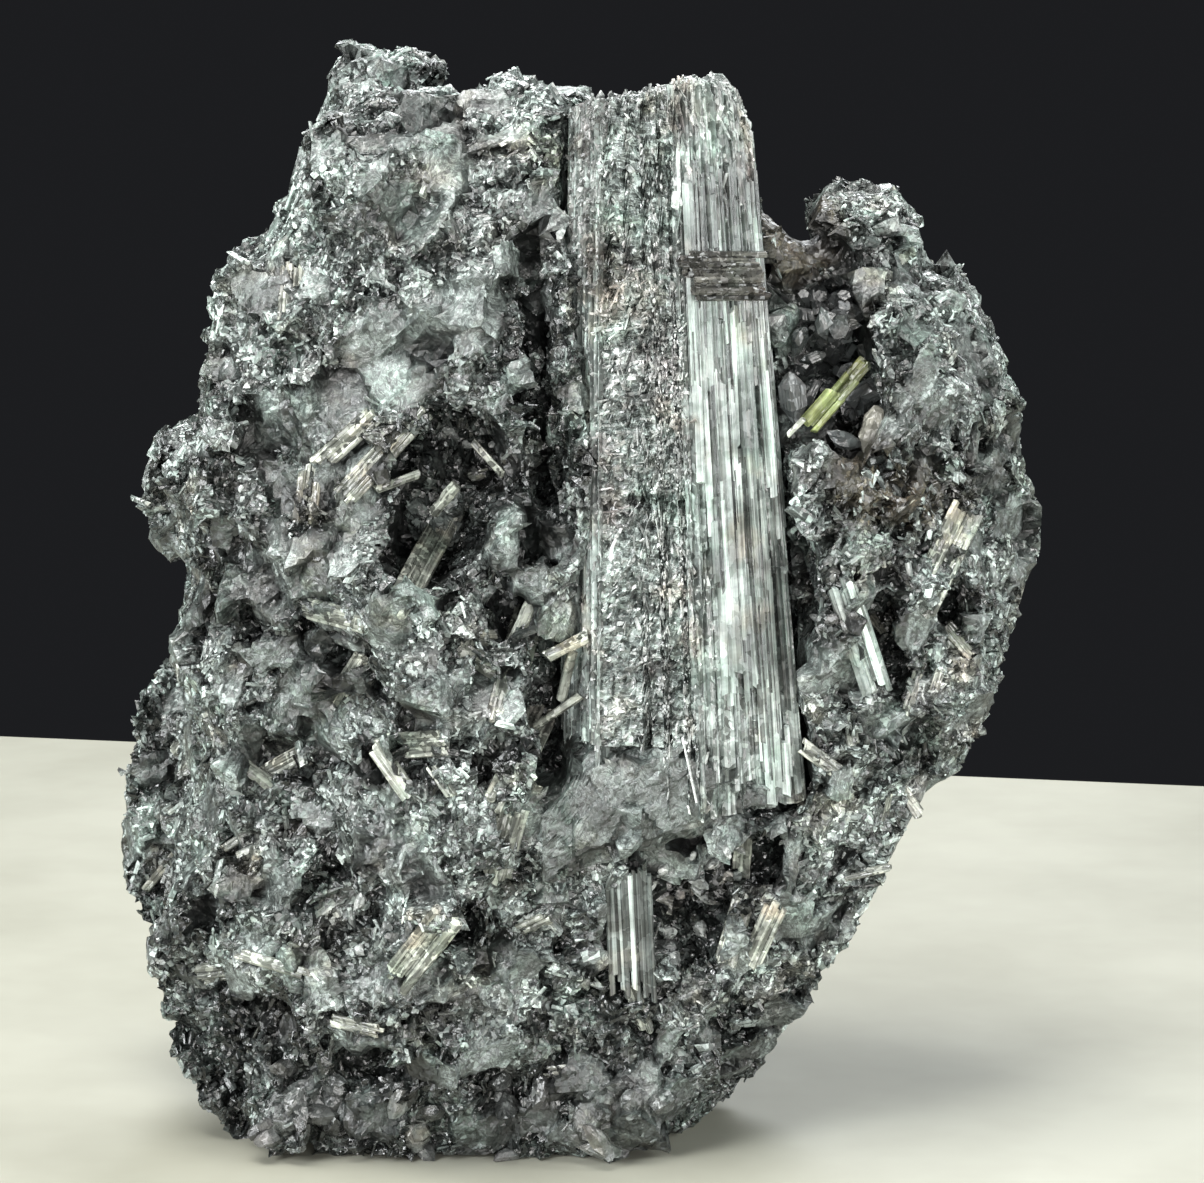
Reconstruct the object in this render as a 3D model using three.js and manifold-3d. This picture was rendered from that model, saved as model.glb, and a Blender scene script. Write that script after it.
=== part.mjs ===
// A schorl (black tourmaline) hand specimen. One large striated prism stands upright in a mass of fine
// intergrown schorl, with hollows, ledges and small crystals all over it. It rests on its broken base.
// Millimetres, +Z up. The side with the large prism faces -Y, and +X is on its right.
import * as THREE from "three";
import { mergeVertices } from "three/addons/utils/BufferGeometryUtils.js";
import { ConvexGeometry } from "three/addons/geometries/ConvexGeometry.js";
import { ImprovedNoise } from "three/addons/math/ImprovedNoise.js";
import Module from "manifold-3d";

const wasm = await Module();
wasm.setup();

// Driving dimensions
const FRONT_DEPTH = 12.0; // from the mid-plane to the front of the mass
const BACK_DEPTH = 14.0; // from the mid-plane to its back
const FRONT_FULLNESS = 2.7; // 2 is a round section, and more is flatter with a quicker turn at the rim
const BACK_FULLNESS = 2.3;
const MASS_CENTRE = [0, 28]; // x and z that the outline is measured round
const GAP = 0.3; // between crystals that touch
const BLANK_DETAIL = 10; // the mass is a ball of 20 * (detail + 1)^2 faces before it is shaped
const GOLDEN_ANGLE = Math.PI * (3 - Math.sqrt(5)); // between points that spread evenly over a ball
const BLOCK_CORNERS = 17; // of a lump or a hollow
const BOXINESS = 0.72; // 1 is a round lump, and less is squarer
const SWELL = { wavelength: 10, height: 0.9 }; // the broad unevenness of the mass
const FLATS = { count: 120, tilt: 0.3, offset: 0.4, strength: 0.85 }; // the broken faces over it

// The front outline of the mass, x and z, clockwise from the left shoulder. It runs below 0, where the
// base is broken off flat.
const OUTLINE = [
  [-16.0, 48.8], [-14.0, 51.4], [-12.0, 53.6], [-8.6, 54.8], [-4.5, 55.2], [-1.6, 55.5], [2.6, 54.8],
  [5.6, 54.4], [8.8, 50.2], [9.9, 47.2], [11.4, 45.4], [14.6, 45.8], [17.8, 45.8], [20.9, 43.4],
  [22.8, 40.4], [23.2, 37.2], [22.9, 33.6], [22.0, 28.9], [21.0, 25.0], [19.2, 19.1], [16.8, 15.1],
  [13.0, 8.6], [9.6, 3.8], [6.6, 0.2], [3.6, -3.0], [-2.5, -4.2], [-9.0, -4.2], [-14.6, -3.2],
  [-17.4, -0.8], [-19.9, 3.4], [-21.8, 6.8], [-21.6, 10.6], [-19.8, 14.2], [-20.2, 19.0],
  [-20.8, 24.0], [-20.4, 28.6], [-20.0, 31.6], [-20.8, 35.4], [-20.2, 39.3], [-19.0, 43.2],
  [-17.5, 46.2],
];

// The large prism: the corners of its section at REFERENCE_Z, left to right round the front, then back.
// ribs and depth are the striations of the face that starts at that corner.
const PRISM = {
  bottom: 19.3,
  top: 56.6,
  referenceZ: 30,
  widenPerMm: 0.0085, // it widens downwards, about its left front edge
  leanPerMm: 0.03, // its top leans back
  leftFront: [1.1, -12.9],
  faces: [
    { from: [-0.8, -8.5], ribs: 3, depth: 0.28 },
    { from: [1.1, -12.9], ribs: 5, depth: 0.14 },
    { from: [6.1, -13.5], ribs: 8, depth: 0.36 },
    { from: [11.1, -9.1], ribs: 3, depth: 0.2 },
    { from: [11.1, -3.4], ribs: 1, depth: 0 },
    { from: [5.2, 0.2], ribs: 1, depth: 0 },
    { from: [-0.5, -3.0], ribs: 1, depth: 0 },
  ],
  ledges: [0.3, 0.05, 0.32, -0.05, 0.26, 0.05, 0.3], // how far each ring of the front face is set back
  footTop: 23.6, // its front part ends here, on the smooth patch of the mass, and only its right runs on
  footRight: 8.2,
  // The mass leaves this room in front of the right face, round from its left edge, at referenceZ.
  clearing: { from: 19.8, section: [[5.8, -12.6], [11.5, -8.7], [12.1, -20], [5.2, -20]] },
};

const CROSS = [ // two short prisms grown side by side across the large one's right face
  { from: [5.4, -14.3, 47.9], to: [9.8, -10.2, 47.5], width: 1.5, flat: 0.9, spin: 0.3 },
  { from: [5.8, -14.1, 46.9], to: [10.4, -9.8, 46.5], width: 1.6, flat: 0.9, spin: 0.9 },
];
// Three more single crystals: the ends of each in x and z, and how far it stands proud of the mass.
const LOWER = { from: [2.9, 9.2], to: [2.8, 16.3], width: 2.3, proud: 0.7, flat: 0.8, spin: 0.1 };
const RIGHT = { from: [15.4, 25.4], to: [13.6, 31.4], width: 1.6, proud: 0.9, flat: 0.7, spin: 0.4 };
const GREEN = { from: [12.0, -8.0, 38.9], to: [15.0, -6.8, 42.0], width: 1.1, flat: 0.7, spin: 0.2 };

// Lobes and blocks that stand out of the mass: centre, half sizes, a seed for the shape and a tilt.
const LUMPS = [
  { at: [-10.9, 7.0, 52.2], half: [4.0, 5.0, 5.9], seed: 11, tilt: 0.2 }, // the knob at the top left
  { at: [-9.4, 6.4, 54.6], half: [2.6, 3.6, 3.2], seed: 12, tilt: -0.2 },
  { at: [-9.6, -5.4, 50.8], half: [5.2, 4.6, 4.4], seed: 13, tilt: 0.1 }, // the bulge below it
  { at: [-2.2, 2.0, 52.8], half: [5.0, 5.6, 3.2], seed: 27, tilt: 0.22 }, // the top edge
  { at: [15.2, 0.6, 46.6], half: [3.7, 4.8, 4.5], seed: 14, tilt: 0.06 }, // the right lobe's tower
  { at: [18.6, 1.5, 40.4], half: [3.9, 6.4, 5.2], seed: 15, tilt: -0.4 },
  { at: [17.0, -5.4, 33.0], half: [4.9, 4.2, 6.0], seed: 28, tilt: 0.2 }, // and its swell
  { at: [-21.6, 8.0, 16.4], half: [3.8, 5.6, 8.6], seed: 16, tilt: 0.1 }, // the slab behind the left foot
  { at: [-20.8, 7.2, 9.0], half: [3.4, 4.8, 4.4], seed: 17, tilt: -0.2 },
  { at: [-21.4, 3.2, 33.6], half: [1.8, 2.8, 4.0], seed: 18, tilt: 0.1 }, // the spur on the left edge
  { at: [3.4, -10.6, 20.6], half: [5.8, 3.0, 3.4], seed: 19, tilt: -0.3 }, // the prism's smooth foot
  { at: [-15.2, -7.2, 2.8], half: [2.6, 2.8, 3.0], seed: 20, tilt: 0.5 }, // blocks along the base
  { at: [-10.7, -7.6, 2.0], half: [2.2, 2.5, 2.5], seed: 21, tilt: 0.2 },
  { at: [1.4, -7.6, 2.2], half: [3.4, 3.1, 2.7], seed: 22, tilt: -0.3 },
  { at: [-5.4, -7.2, 2.4], half: [3.4, 2.8, 2.6], seed: 23, tilt: 0.1 },
  { at: [-6.0, 8.2, 2.2], half: [6.0, 4.4, 3.4], seed: 24, tilt: 0.05 },
  { at: [8.0, 10.4, 30.0], half: [7.0, 4.8, 9.0], seed: 25, tilt: 0.3 }, // the back's two swells
  { at: [-9.0, 10.2, 24.0], half: [6.4, 4.6, 8.0], seed: 26, tilt: -0.25 },
];

// Flat-faced grains and plates set in the front: x and z, half sizes and how far they stand proud.
const PLATES = [
  { at: [-9.2, 42.8], half: [2.4, 1.6, 2.2], proud: 0.5, seed: 81, tilt: 0.6 },
  { at: [-5.4, 45.0], half: [2.2, 1.5, 1.5], proud: 0.6, seed: 82, tilt: -0.5 },
  { at: [-3.0, 33.6], half: [1.9, 1.6, 1.8], proud: 0.7, seed: 83, tilt: 0.3 },
  { at: [-13.0, 38.6], half: [2.1, 1.6, 2.6], proud: 0.5, seed: 84, tilt: 0.2 },
  { at: [-16.2, 30.6], half: [2.4, 1.8, 2.0], proud: 0.6, seed: 85, tilt: -0.2 },
  { at: [-6.6, 25.6], half: [2.5, 1.6, 1.7], proud: 0.6, seed: 86, tilt: 0.4 },
  { at: [-14.0, 24.2], half: [2.2, 1.6, 2.3], proud: 0.5, seed: 87, tilt: 0.7 },
  { at: [-9.4, 17.4], half: [2.6, 1.7, 2.0], proud: 0.7, seed: 88, tilt: -0.4 },
  { at: [-16.8, 13.6], half: [2.4, 1.8, 2.2], proud: 0.7, seed: 89, tilt: 0.3 },
  { at: [-4.4, 8.8], half: [2.2, 1.6, 2.2], proud: 0.6, seed: 90, tilt: 0 },
  { at: [12.8, 26.7], half: [1.3, 1.4, 1.6], proud: 0.5, seed: 91, tilt: 0.2 },
  { at: [18.6, 40.0], half: [2.0, 1.6, 2.2], proud: 0.5, seed: 92, tilt: 0.5 },
  { at: [-17.0, 45.0], half: [1.8, 1.6, 2.2], proud: 0.5, seed: 93, tilt: 0.3 },
];

// Hollows: centre, half sizes, seed and tilt. Their narrow way is under 5.8 mm.
const HOLLOWS = {
  left: [
    { at: [-7.2, -11.6, 33.8], half: [2.9, 7.4, 3.2], seed: 31, tilt: 0.35 },
    { at: [-5.2, -12.2, 37.6], half: [2.6, 6.6, 3.4], seed: 32, tilt: -0.5 },
    { at: [-8.6, -12.2, 37.4], half: [1.8, 4.6, 1.9], seed: 49, tilt: 0.5 },
  ],
  middle: [{ at: [-3.0, -12.4, 29.2], half: [1.6, 6.4, 2.2], seed: 33, tilt: -0.3 }],
  foot: [{ at: [-1.3, -13.0, 24.6], half: [1.6, 6.8, 4.4], seed: 34, tilt: 0.1 }],
  leftGroove: [
    { at: [-1.3, -11.6, 46.0], half: [1.5, 3.8, 5.6], seed: 59, tilt: 0.03, turn: 0.41 },
    { at: [-1.4, -11.6, 36.6], half: [1.5, 4.0, 5.8], seed: 60, tilt: -0.03, turn: 0.41 },
  ],
  right: [
    { at: [13.2, -9.8, 42.0], half: [3.0, 7.2, 5.6], seed: 35, tilt: -0.12 },
    { at: [11.6, -9.2, 46.2], half: [1.9, 5.4, 2.4], seed: 36, tilt: 0 },
    { at: [11.3, -9.4, 40.4], half: [1.5, 5.4, 3.4], seed: 57, tilt: 0 },
  ],
  rightSlot: [
    { at: [11.4, -10.6, 31.6], half: [1.1, 5.8, 4.4], seed: 37, tilt: 0 },
    { at: [16.2, -10.2, 27.6], half: [0.8, 3.6, 3.4], seed: 38, tilt: -0.2 },
  ],
  lower: [
    { at: [6.0, -11.6, 12.8], half: [2.6, 4.6, 3.4], seed: 39, tilt: 0.2 },
    { at: [9.0, -10.6, 16.4], half: [2.2, 3.6, 1.4], seed: 40, tilt: 0.1 },
    { at: [1.6, -13.2, 12.6], half: [5.4, 2.6, 3.0], seed: 50, tilt: -0.2 },
  ],
  base: [
    { at: [-16.4, -9.2, 7.2], half: [2.0, 3.8, 1.8], seed: 41, tilt: 0.2 },
    { at: [-10.8, -10.0, 5.4], half: [2.4, 3.4, 1.5], seed: 42, tilt: 0 },
  ],
  leftEdge: [{ at: [-21.4, 0.8, 13.8], half: [2.0, 3.4, 2.4], seed: 43, tilt: 0.2 }],
  pits: [
    { at: [-12.0, -12.0, 27.2], half: [1.2, 2.8, 0.9], seed: 51, tilt: 0.2 },
    { at: [-14.6, -11.6, 20.6], half: [1.3, 2.8, 0.9], seed: 52, tilt: -0.3 },
    { at: [-6.0, -12.4, 13.8], half: [1.1, 3.0, 1.6], seed: 53, tilt: 0.3 },
    { at: [-0.9, -11.6, 51.2], half: [0.7, 3.4, 1.3], seed: 54, tilt: 0 },
    { at: [-9.8, -12.0, 21.6], half: [1.2, 2.8, 0.8], seed: 55, tilt: 0.5 },
    { at: [19.4, -8.0, 29.4], half: [1.0, 3.2, 1.4], seed: 56, tilt: 0.1 },
  ],
  back: [
    { at: [-1.0, 15.0, 36.0], half: [2.7, 4.4, 4.6], seed: 44, tilt: 0.4 },
    { at: [12.6, 13.0, 20.0], half: [2.4, 4.4, 3.4], seed: 45, tilt: -0.3 },
    { at: [-14.0, 12.6, 38.4], half: [2.2, 4.0, 3.0], seed: 46, tilt: 0.1 },
  ],
  underside: [
    { at: [-7.4, -0.6, -0.6], half: [4.6, 2.6, 1.9], seed: 47, tilt: 0 },
    { at: [1.6, 2.6, -0.6], half: [2.6, 2.6, 1.7], seed: 48, tilt: 0 },
  ],
};

// Single crystals on the front: the ends of each in x and z, its width and how far it stands proud.
const FRONT_CRYSTALS = [
  { from: [-14.6, 43.9], to: [-14.5, 47.0], width: 1.4, proud: 0.5 },
  { from: [-12.0, 35.4], to: [-7.8, 40.0], width: 1.2, proud: 0.8 },
  { from: [-13.2, 37.0], to: [-10.0, 39.9], width: 1.0, proud: 0.5 },
  { from: [-13.8, 34.4], to: [-13.5, 37.0], width: 1.1, proud: 0.6 },
  { from: [-9.0, 30.2], to: [-6.5, 34.1], width: 1.4, proud: 1.3 },
  { from: [-13.9, 29.8], to: [-10.7, 29.5], width: 1.1, proud: 0.6 },
  { from: [-12.4, 24.8], to: [-10.8, 27.6], width: 0.9, proud: 0.5 },
  { from: [-3.8, 24.6], to: [-2.5, 29.0], width: 1.5, proud: 0.8 },
  { from: [-3.9, 20.4], to: [-1.7, 23.9], width: 1.6, proud: 0.8 },
  { from: [-9.8, 22.8], to: [-6.6, 23.6], width: 1.3, proud: 0.5 },
  { from: [-4.2, 16.0], to: [-3.2, 19.8], width: 1.5, proud: 0.6 },
  { from: [-9.3, 10.8], to: [-6.4, 14.9], width: 1.6, proud: 0.9 },
  { from: [8.6, 15.2], to: [8.7, 17.6], width: 0.8, proud: 0.6 },
  { from: [7.7, 11.2], to: [8.7, 14.6], width: 1.1, proud: 0.7 },
  { from: [9.0, 10.9], to: [10.4, 14.2], width: 1.1, proud: 0.7 },
  { from: [17.6, 29.6], to: [20.2, 34.6], width: 1.7, proud: 0.5 },
  { from: [-17.6, 19.2], to: [-14.0, 21.4], width: 1.4, proud: 0.5 },
  { from: [-17.6, 11.3], to: [-13.7, 10.6], width: 0.7, proud: 0.5 },
];
const SCATTERED = 28; // more crystals, at random over the sides and the back

function randomFrom(seed) {
  let state = seed * 2654435761;
  return () => {
    state = (state + 0x6d2b79f5) | 0;
    let t = Math.imul(state ^ (state >>> 15), 1 | state);
    t = (t + Math.imul(t ^ (t >>> 7), 61 | t)) ^ t;
    return ((t ^ (t >>> 14)) >>> 0) / 4294967296;
  };
}

function merged(geometry) {
  const bare = geometry.clone();
  bare.deleteAttribute("normal");
  bare.deleteAttribute("uv");
  return mergeVertices(bare, 1e-4);
}

function solidOf(geometry) {
  const g = merged(geometry);
  return new wasm.Manifold(
    new wasm.Mesh({
      numProp: 3,
      vertProperties: new Float32Array(g.attributes.position.array),
      triVerts: new Uint32Array(g.index.array),
    }),
  );
}

function geometryOf(solid) {
  const mesh = solid.getMesh();
  const g = new THREE.BufferGeometry();
  g.setAttribute("position", new THREE.BufferAttribute(mesh.vertProperties, 3));
  g.setIndex(new THREE.BufferAttribute(mesh.triVerts, 1));
  g.computeVertexNormals();
  return g;
}

const joined = (solids) => solids.reduce((all, one) => all.add(one));
const cut = (solid, tools) => tools.reduce((left, tool) => left.subtract(tool), solid);
const largest = (solid) => solid.decompose().sort((a, b) => b.volume() - a.volume())[0];

const perlin = new ImprovedNoise();

function roughness(p, wavelength, octaves) {
  let sum = 0;
  for (let o = 0; o < octaves; o++) {
    const k = 2 ** o / wavelength;
    sum += perlin.noise(p.x * k + 7.3, p.y * k - 2.1, p.z * k + 4.9) / 2 ** o;
  }
  return sum;
}

function swollen(geometry, { wavelength, height }) {
  geometry.computeVertexNormals();
  const { position, normal } = geometry.attributes;
  const p = new THREE.Vector3();
  const n = new THREE.Vector3();
  for (let i = 0; i < position.count; i++) {
    p.fromBufferAttribute(position, i);
    n.fromBufferAttribute(normal, i);
    p.addScaledVector(n, height * roughness(p, wavelength, 2));
    position.setXYZ(i, p.x, p.y, p.z);
  }
  return geometry;
}

// Breaks a surface into flats: each point moves onto the tilted plane of the seed that is nearest to it.
function brokenIntoFlats(geometry, { count, tilt, offset, strength }) {
  geometry.computeVertexNormals();
  const { position, normal } = geometry.attributes;
  const random = randomFrom(7);
  const seeds = [];
  for (let k = 0; k < count; k++) {
    const i = Math.floor(random() * position.count);
    const n = new THREE.Vector3(random() - 0.5, random() - 0.5, random() - 0.5).multiplyScalar(2 * tilt);
    n.add(new THREE.Vector3().fromBufferAttribute(normal, i)).normalize();
    const at = new THREE.Vector3().fromBufferAttribute(position, i);
    seeds.push({ at, n, out: offset * (2 * random() - 1) });
  }
  const p = new THREE.Vector3();
  for (let i = 0; i < position.count; i++) {
    p.fromBufferAttribute(position, i);
    const seed = seeds.reduce((a, b) => (a.at.distanceToSquared(p) < b.at.distanceToSquared(p) ? a : b));
    const above = p.clone().sub(seed.at).dot(seed.n) - seed.out;
    p.addScaledVector(seed.n, -strength * above);
    position.setXYZ(i, p.x, p.y, p.z);
  }
  return geometry;
}

// A six-sided crystal from one point to another, with a sloping end.
function crystal({ from, to, width, flat = 0.8, spin = 0, seed = 1 }) {
  const random = randomFrom(seed);
  const start = new THREE.Vector3(...from);
  const end = new THREE.Vector3(...to);
  const length = start.distanceTo(end);
  const slope = 0.22 * width * (0.4 + random());
  const points = [];
  for (let i = 0; i < 6; i++) {
    const angle = spin + (i * Math.PI) / 3 + (i % 2 ? 0.28 : -0.28);
    const x = (width / 2) * Math.cos(angle);
    const y = (width / 2) * flat * Math.sin(angle);
    points.push(new THREE.Vector3(x, y, 0));
    points.push(new THREE.Vector3(x * 0.94, y * 0.94, length - slope * (1 + Math.cos(angle - spin))));
  }
  const along = new THREE.Quaternion().setFromUnitVectors(
    new THREE.Vector3(0, 0, 1),
    end.clone().sub(start).normalize(),
  );
  return solidOf(new ConvexGeometry(points).applyQuaternion(along).translate(...from));
}

// A block with flat faces, as a grain has or as a grain leaves behind.
function lump({ at, half, seed, tilt, turn = 0 }) {
  const random = randomFrom(seed);
  const boxy = (v) => Math.sign(v) * Math.abs(v) ** BOXINESS;
  const points = [];
  for (let i = 0; i < BLOCK_CORNERS; i++) {
    const z = 1 - (2 * (i + 0.5)) / BLOCK_CORNERS;
    const angle = i * GOLDEN_ANGLE + random() * 0.8;
    const ring = Math.sqrt(1 - z * z);
    const p = new THREE.Vector3(ring * Math.cos(angle), ring * Math.sin(angle), z);
    points.push(p.set(boxy(p.x), boxy(p.y), boxy(p.z)).multiplyScalar(0.84 + 0.2 * random()));
  }
  return solidOf(new ConvexGeometry(points).scale(...half).rotateY(tilt).rotateZ(turn).translate(...at));
}

// The distance from MASS_CENTRE to the outline in a direction of the front view.
function outlineRadius(dx, dz) {
  for (let i = 0; i < OUTLINE.length; i++) {
    const [ax, az] = OUTLINE[i].map((v, k) => v - MASS_CENTRE[k]);
    const [bx, bz] = OUTLINE[(i + 1) % OUTLINE.length].map((v, k) => v - MASS_CENTRE[k]);
    const [ex, ez] = [bx - ax, bz - az];
    const across = dx * ez - dz * ex;
    const share = (ax * dz - az * dx) / across;
    const reach = (ax * ez - az * ex) / across;
    if (reach > 0 && share >= 0 && share <= 1) return reach;
  }
  throw new Error("the outline doesn't close round its centre");
}

// The mass before its lobes and hollows: the outline, filled out to the front and the back.
function massBlank() {
  const ball = merged(new THREE.IcosahedronGeometry(1, BLANK_DETAIL));
  const position = ball.attributes.position;
  for (let i = 0; i < position.count; i++) {
    const [x, y, z] = [position.getX(i), position.getY(i), position.getZ(i)];
    const flatway = Math.hypot(x, z);
    const fullness = y < 0 ? FRONT_FULLNESS : BACK_FULLNESS;
    const depth = y < 0 ? FRONT_DEPTH : BACK_DEPTH;
    const turn = Math.atan2(Math.abs(y), flatway);
    const out = Math.cos(turn) ** (2 / fullness);
    const deep = Math.sin(turn) ** (2 / fullness);
    const [dx, dz] = flatway > 1e-6 ? [x / flatway, z / flatway] : [1, 0];
    const radius = outlineRadius(dx, dz) * out;
    position.setXYZ(
      i,
      MASS_CENTRE[0] + dx * radius,
      Math.sign(y) * depth * deep,
      MASS_CENTRE[1] + dz * radius,
    );
  }
  return brokenIntoFlats(swollen(ball, SWELL), FLATS);
}

// The large prism. extra widens it on all sides, for the socket that it stands in.
function prismSection(extra) {
  const corners = PRISM.faces.map((f) => new THREE.Vector2(...f.from));
  const middle = corners.reduce((sum, c) => sum.add(c), new THREE.Vector2()).divideScalar(corners.length);
  const outline = [];
  PRISM.faces.forEach(({ ribs, depth }, i) => {
    const a = corners[i];
    const b = corners[(i + 1) % corners.length];
    const outward = new THREE.Vector2(b.y - a.y, a.x - b.x).normalize();
    if (outward.dot(a.clone().sub(middle)) < 0) outward.negate();
    const parts = extra ? 1 : 2 * ribs;
    for (let k = 0; k < parts; k++) {
      const inset = k % 2 ? depth * (0.7 + 0.6 * Math.abs(Math.sin(5 * k + i))) : 0;
      const share = (k + (k % 2 ? 0.25 * Math.sin(3 * k) : 0)) / parts;
      outline.push(a.clone().lerp(b, share).addScaledVector(outward, -inset));
    }
  });
  return outline.map((p) => p.add(p.clone().sub(middle).setLength(extra)));
}

// Carries a section up the prism's axis as the prism widens and leans. ledges set its front face back,
// ring by ring.
function alongPrism(section, bottom, top, ledges = [0, 0]) {
  const steps = ledges.length - 1;
  const g = new THREE.ExtrudeGeometry(new THREE.Shape(section), {
    depth: top - bottom,
    steps,
    bevelEnabled: false,
  }).translate(0, 0, bottom);
  const position = g.attributes.position;
  for (let i = 0; i < position.count; i++) {
    const z = position.getZ(i);
    const wide = 1 + PRISM.widenPerMm * (PRISM.referenceZ - z);
    const lean = PRISM.leanPerMm * (z - PRISM.referenceZ);
    const isFront = position.getY(i) < -12 && position.getX(i) < 6.2;
    const ring = Math.round(((z - bottom) / (top - bottom)) * steps);
    const ledge = isFront ? ledges[ring] : 0;
    const x = PRISM.leftFront[0] + (position.getX(i) - PRISM.leftFront[0]) * wide;
    const y = PRISM.leftFront[1] + (position.getY(i) - PRISM.leftFront[1]) * wide + lean + ledge;
    position.setXYZ(i, x, y, z);
  }
  return solidOf(g);
}

function block(at, size, turns) {
  const g = new THREE.BoxGeometry(...size).rotateX(turns[0]).rotateY(turns[1]).rotateZ(turns[2]);
  return solidOf(g.translate(...at));
}

// The front of the prism's foot, which the mass takes the place of, less a margin all round.
function prismFoot(margin) {
  const size = [20, 24, 30];
  const middle = [PRISM.footRight - margin - size[0] / 2, -8, PRISM.footTop - margin - size[2] / 2];
  return block(middle, size, [0, 0, 0]);
}

// The broken top, the slats of the right face that end at different heights, and the chipped foot.
function prismBreaks() {
  return [
    block([10.1, -9.5, 56.8], [9, 20, 5], [0.1, 0.98, 0]),
    block([1.8, -9.0, 58.3], [9, 22, 5], [-0.1, -0.25, 0]),
    block([4.4, -2.0, 58.6], [16, 8, 4], [-0.5, 0, 0]),
    block([12.2, -9.4, 22.0], [2.2, 4.0, 4.4], [0, 0.12, 0.75]),
    block([9.6, -12.0, 20.0], [1.6, 3.0, 3.0], [0, -0.1, 0.7]),
    block([10.6, -9.9, 42.0], [1.3, 1.4, 1.5], [0, 0.2, 0.7]),
  ];
}

function mainCrystal() {
  const prism = alongPrism(prismSection(0), PRISM.bottom, PRISM.top, PRISM.ledges);
  return largest(cut(prism, [prismFoot(0), ...prismBreaks()]));
}

// Finds where a line meets the surface of a solid.
function surfaceFinder(solid) {
  const mesh = new THREE.Mesh(geometryOf(solid), new THREE.MeshBasicMaterial({ side: THREE.FrontSide }));
  const ray = new THREE.Raycaster();
  return (from, way) => {
    ray.set(from, way);
    return ray.intersectObject(mesh)[0];
  };
}

// The y of the front surface at x and z.
function frontAt(find, x, z) {
  return find(new THREE.Vector3(x, -60, z), new THREE.Vector3(0, 1, 0)).point.y;
}

// Gives a crystal whose ends are set by x and z its place on the front surface.
function seated(find, spec) {
  const [from, to] = [spec.from, spec.to].map(([x, z]) => [
    x,
    frontAt(find, x, z) + (spec.width * (spec.flat ?? 0.8)) / 2 - spec.proud,
    z,
  ]);
  return { ...spec, from, to };
}

function plates(find) {
  return PLATES.map((plate) => {
    const [x, z] = plate.at;
    return lump({ ...plate, at: [x, frontAt(find, x, z) + plate.half[1] - plate.proud, z] });
  });
}

function scatteredCrystals(find) {
  const random = randomFrom(5);
  const centre = new THREE.Vector3(MASS_CENTRE[0], 1.5, MASS_CENTRE[1]);
  const made = [];
  while (made.length < SCATTERED) {
    const up = 2 * random() - 1;
    const turn = 2 * Math.PI * random();
    const ring = Math.sqrt(1 - up * up);
    const way = new THREE.Vector3(ring * Math.cos(turn), ring * Math.sin(turn), up);
    const hit = find(centre.clone().addScaledVector(way, 80), way.clone().negate());
    if (!hit || hit.point.y < -6 || hit.point.z < 3) continue;
    const width = 1.0 + 1.4 * random() ** 2;
    const across = new THREE.Vector3(random() - 0.5, random() - 0.5, random() - 0.5)
      .cross(hit.face.normal)
      .normalize();
    const axis = across.addScaledVector(hit.face.normal, 0.45 * random() ** 2).normalize();
    const length = width * (1.8 + 2.2 * random());
    const base = hit.point.clone().addScaledVector(hit.face.normal, -0.3 * width);
    const from = base.clone().addScaledVector(axis, -0.5 * length).toArray();
    const to = base.clone().addScaledVector(axis, 0.5 * length).toArray();
    made.push(crystal({ from, to, width, spin: 6 * random(), seed: 90 + made.length }));
  }
  return made;
}

// A crystal's room: the crystal with a margin all round.
function grown(spec, by) {
  const axis = new THREE.Vector3(...spec.to).sub(new THREE.Vector3(...spec.from)).setLength(by);
  const from = new THREE.Vector3(...spec.from).sub(axis).toArray();
  const to = new THREE.Vector3(...spec.to).add(axis).toArray();
  return crystal({ ...spec, from, to, width: spec.width + 2 * by });
}

function schorlMass(blank, find, neighbours) {
  const rough = joined([blank, ...plates(find), ...scatteredCrystals(find)]);
  const pitted = cut(rough, Object.values(HOLLOWS).flat().map(lump));
  const crystals = FRONT_CRYSTALS.map((spec, i) =>
    crystal({ ...seated(find, spec), spin: i * 0.7, seed: 60 + i }),
  );
  const cleft = block([-1.3, -10.5, 40.0], [0.9, 9, 10.5], [0, -0.04, 0.15]);
  const { from, section } = PRISM.clearing;
  const clearing = alongPrism(section.map((p) => new THREE.Vector2(...p)), from, PRISM.top + 20);
  const prismRoom = alongPrism(prismSection(GAP), PRISM.bottom - GAP, PRISM.top + 20);
  const sockets = [cut(prismRoom, [prismFoot(GAP)]), ...neighbours.map((spec) => grown(spec, GAP))];
  const ground = block([0, 0, -20], [120, 120, 40], [0, 0, 0]);
  return largest(cut(joined([pitted, ...crystals]), [cleft, clearing, ...sockets, ground]));
}

// The grains that line a hollow, on a thin crust at its bottom. wall is how deep the crust's face lies
// behind the hollow's centre.
function hollowCrystals(spec, seed, count, wall) {
  const random = randomFrom(seed);
  const room = lump({ ...spec, half: spec.half.map((h) => h - GAP) });
  const reach = spec.half[1] - wall;
  const bed = block([spec.at[0], spec.at[1] + wall + reach / 2, spec.at[2]], [12, reach, 14], [0, 0, 0]);
  const grains = [];
  for (let i = 0; i < count; i++) {
    const [x, z] = [0, 2].map((k) => spec.at[k] + spec.half[k] * 1.4 * (random() - 0.5));
    const y = spec.at[1] + wall + 0.5;
    const [tx, tz] = [1.6 * (random() - 0.5), 1.6 * (random() - 0.5)];
    const to = [x + tx, y - 1.6 - 1.2 * random(), z + tz];
    const [width, spin] = [1 + 0.8 * random(), 6 * random()];
    grains.push(crystal({ from: [x, y, z], to, width, spin, seed: seed + i }));
  }
  return largest(joined([bed, ...grains]).intersect(room));
}

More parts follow.
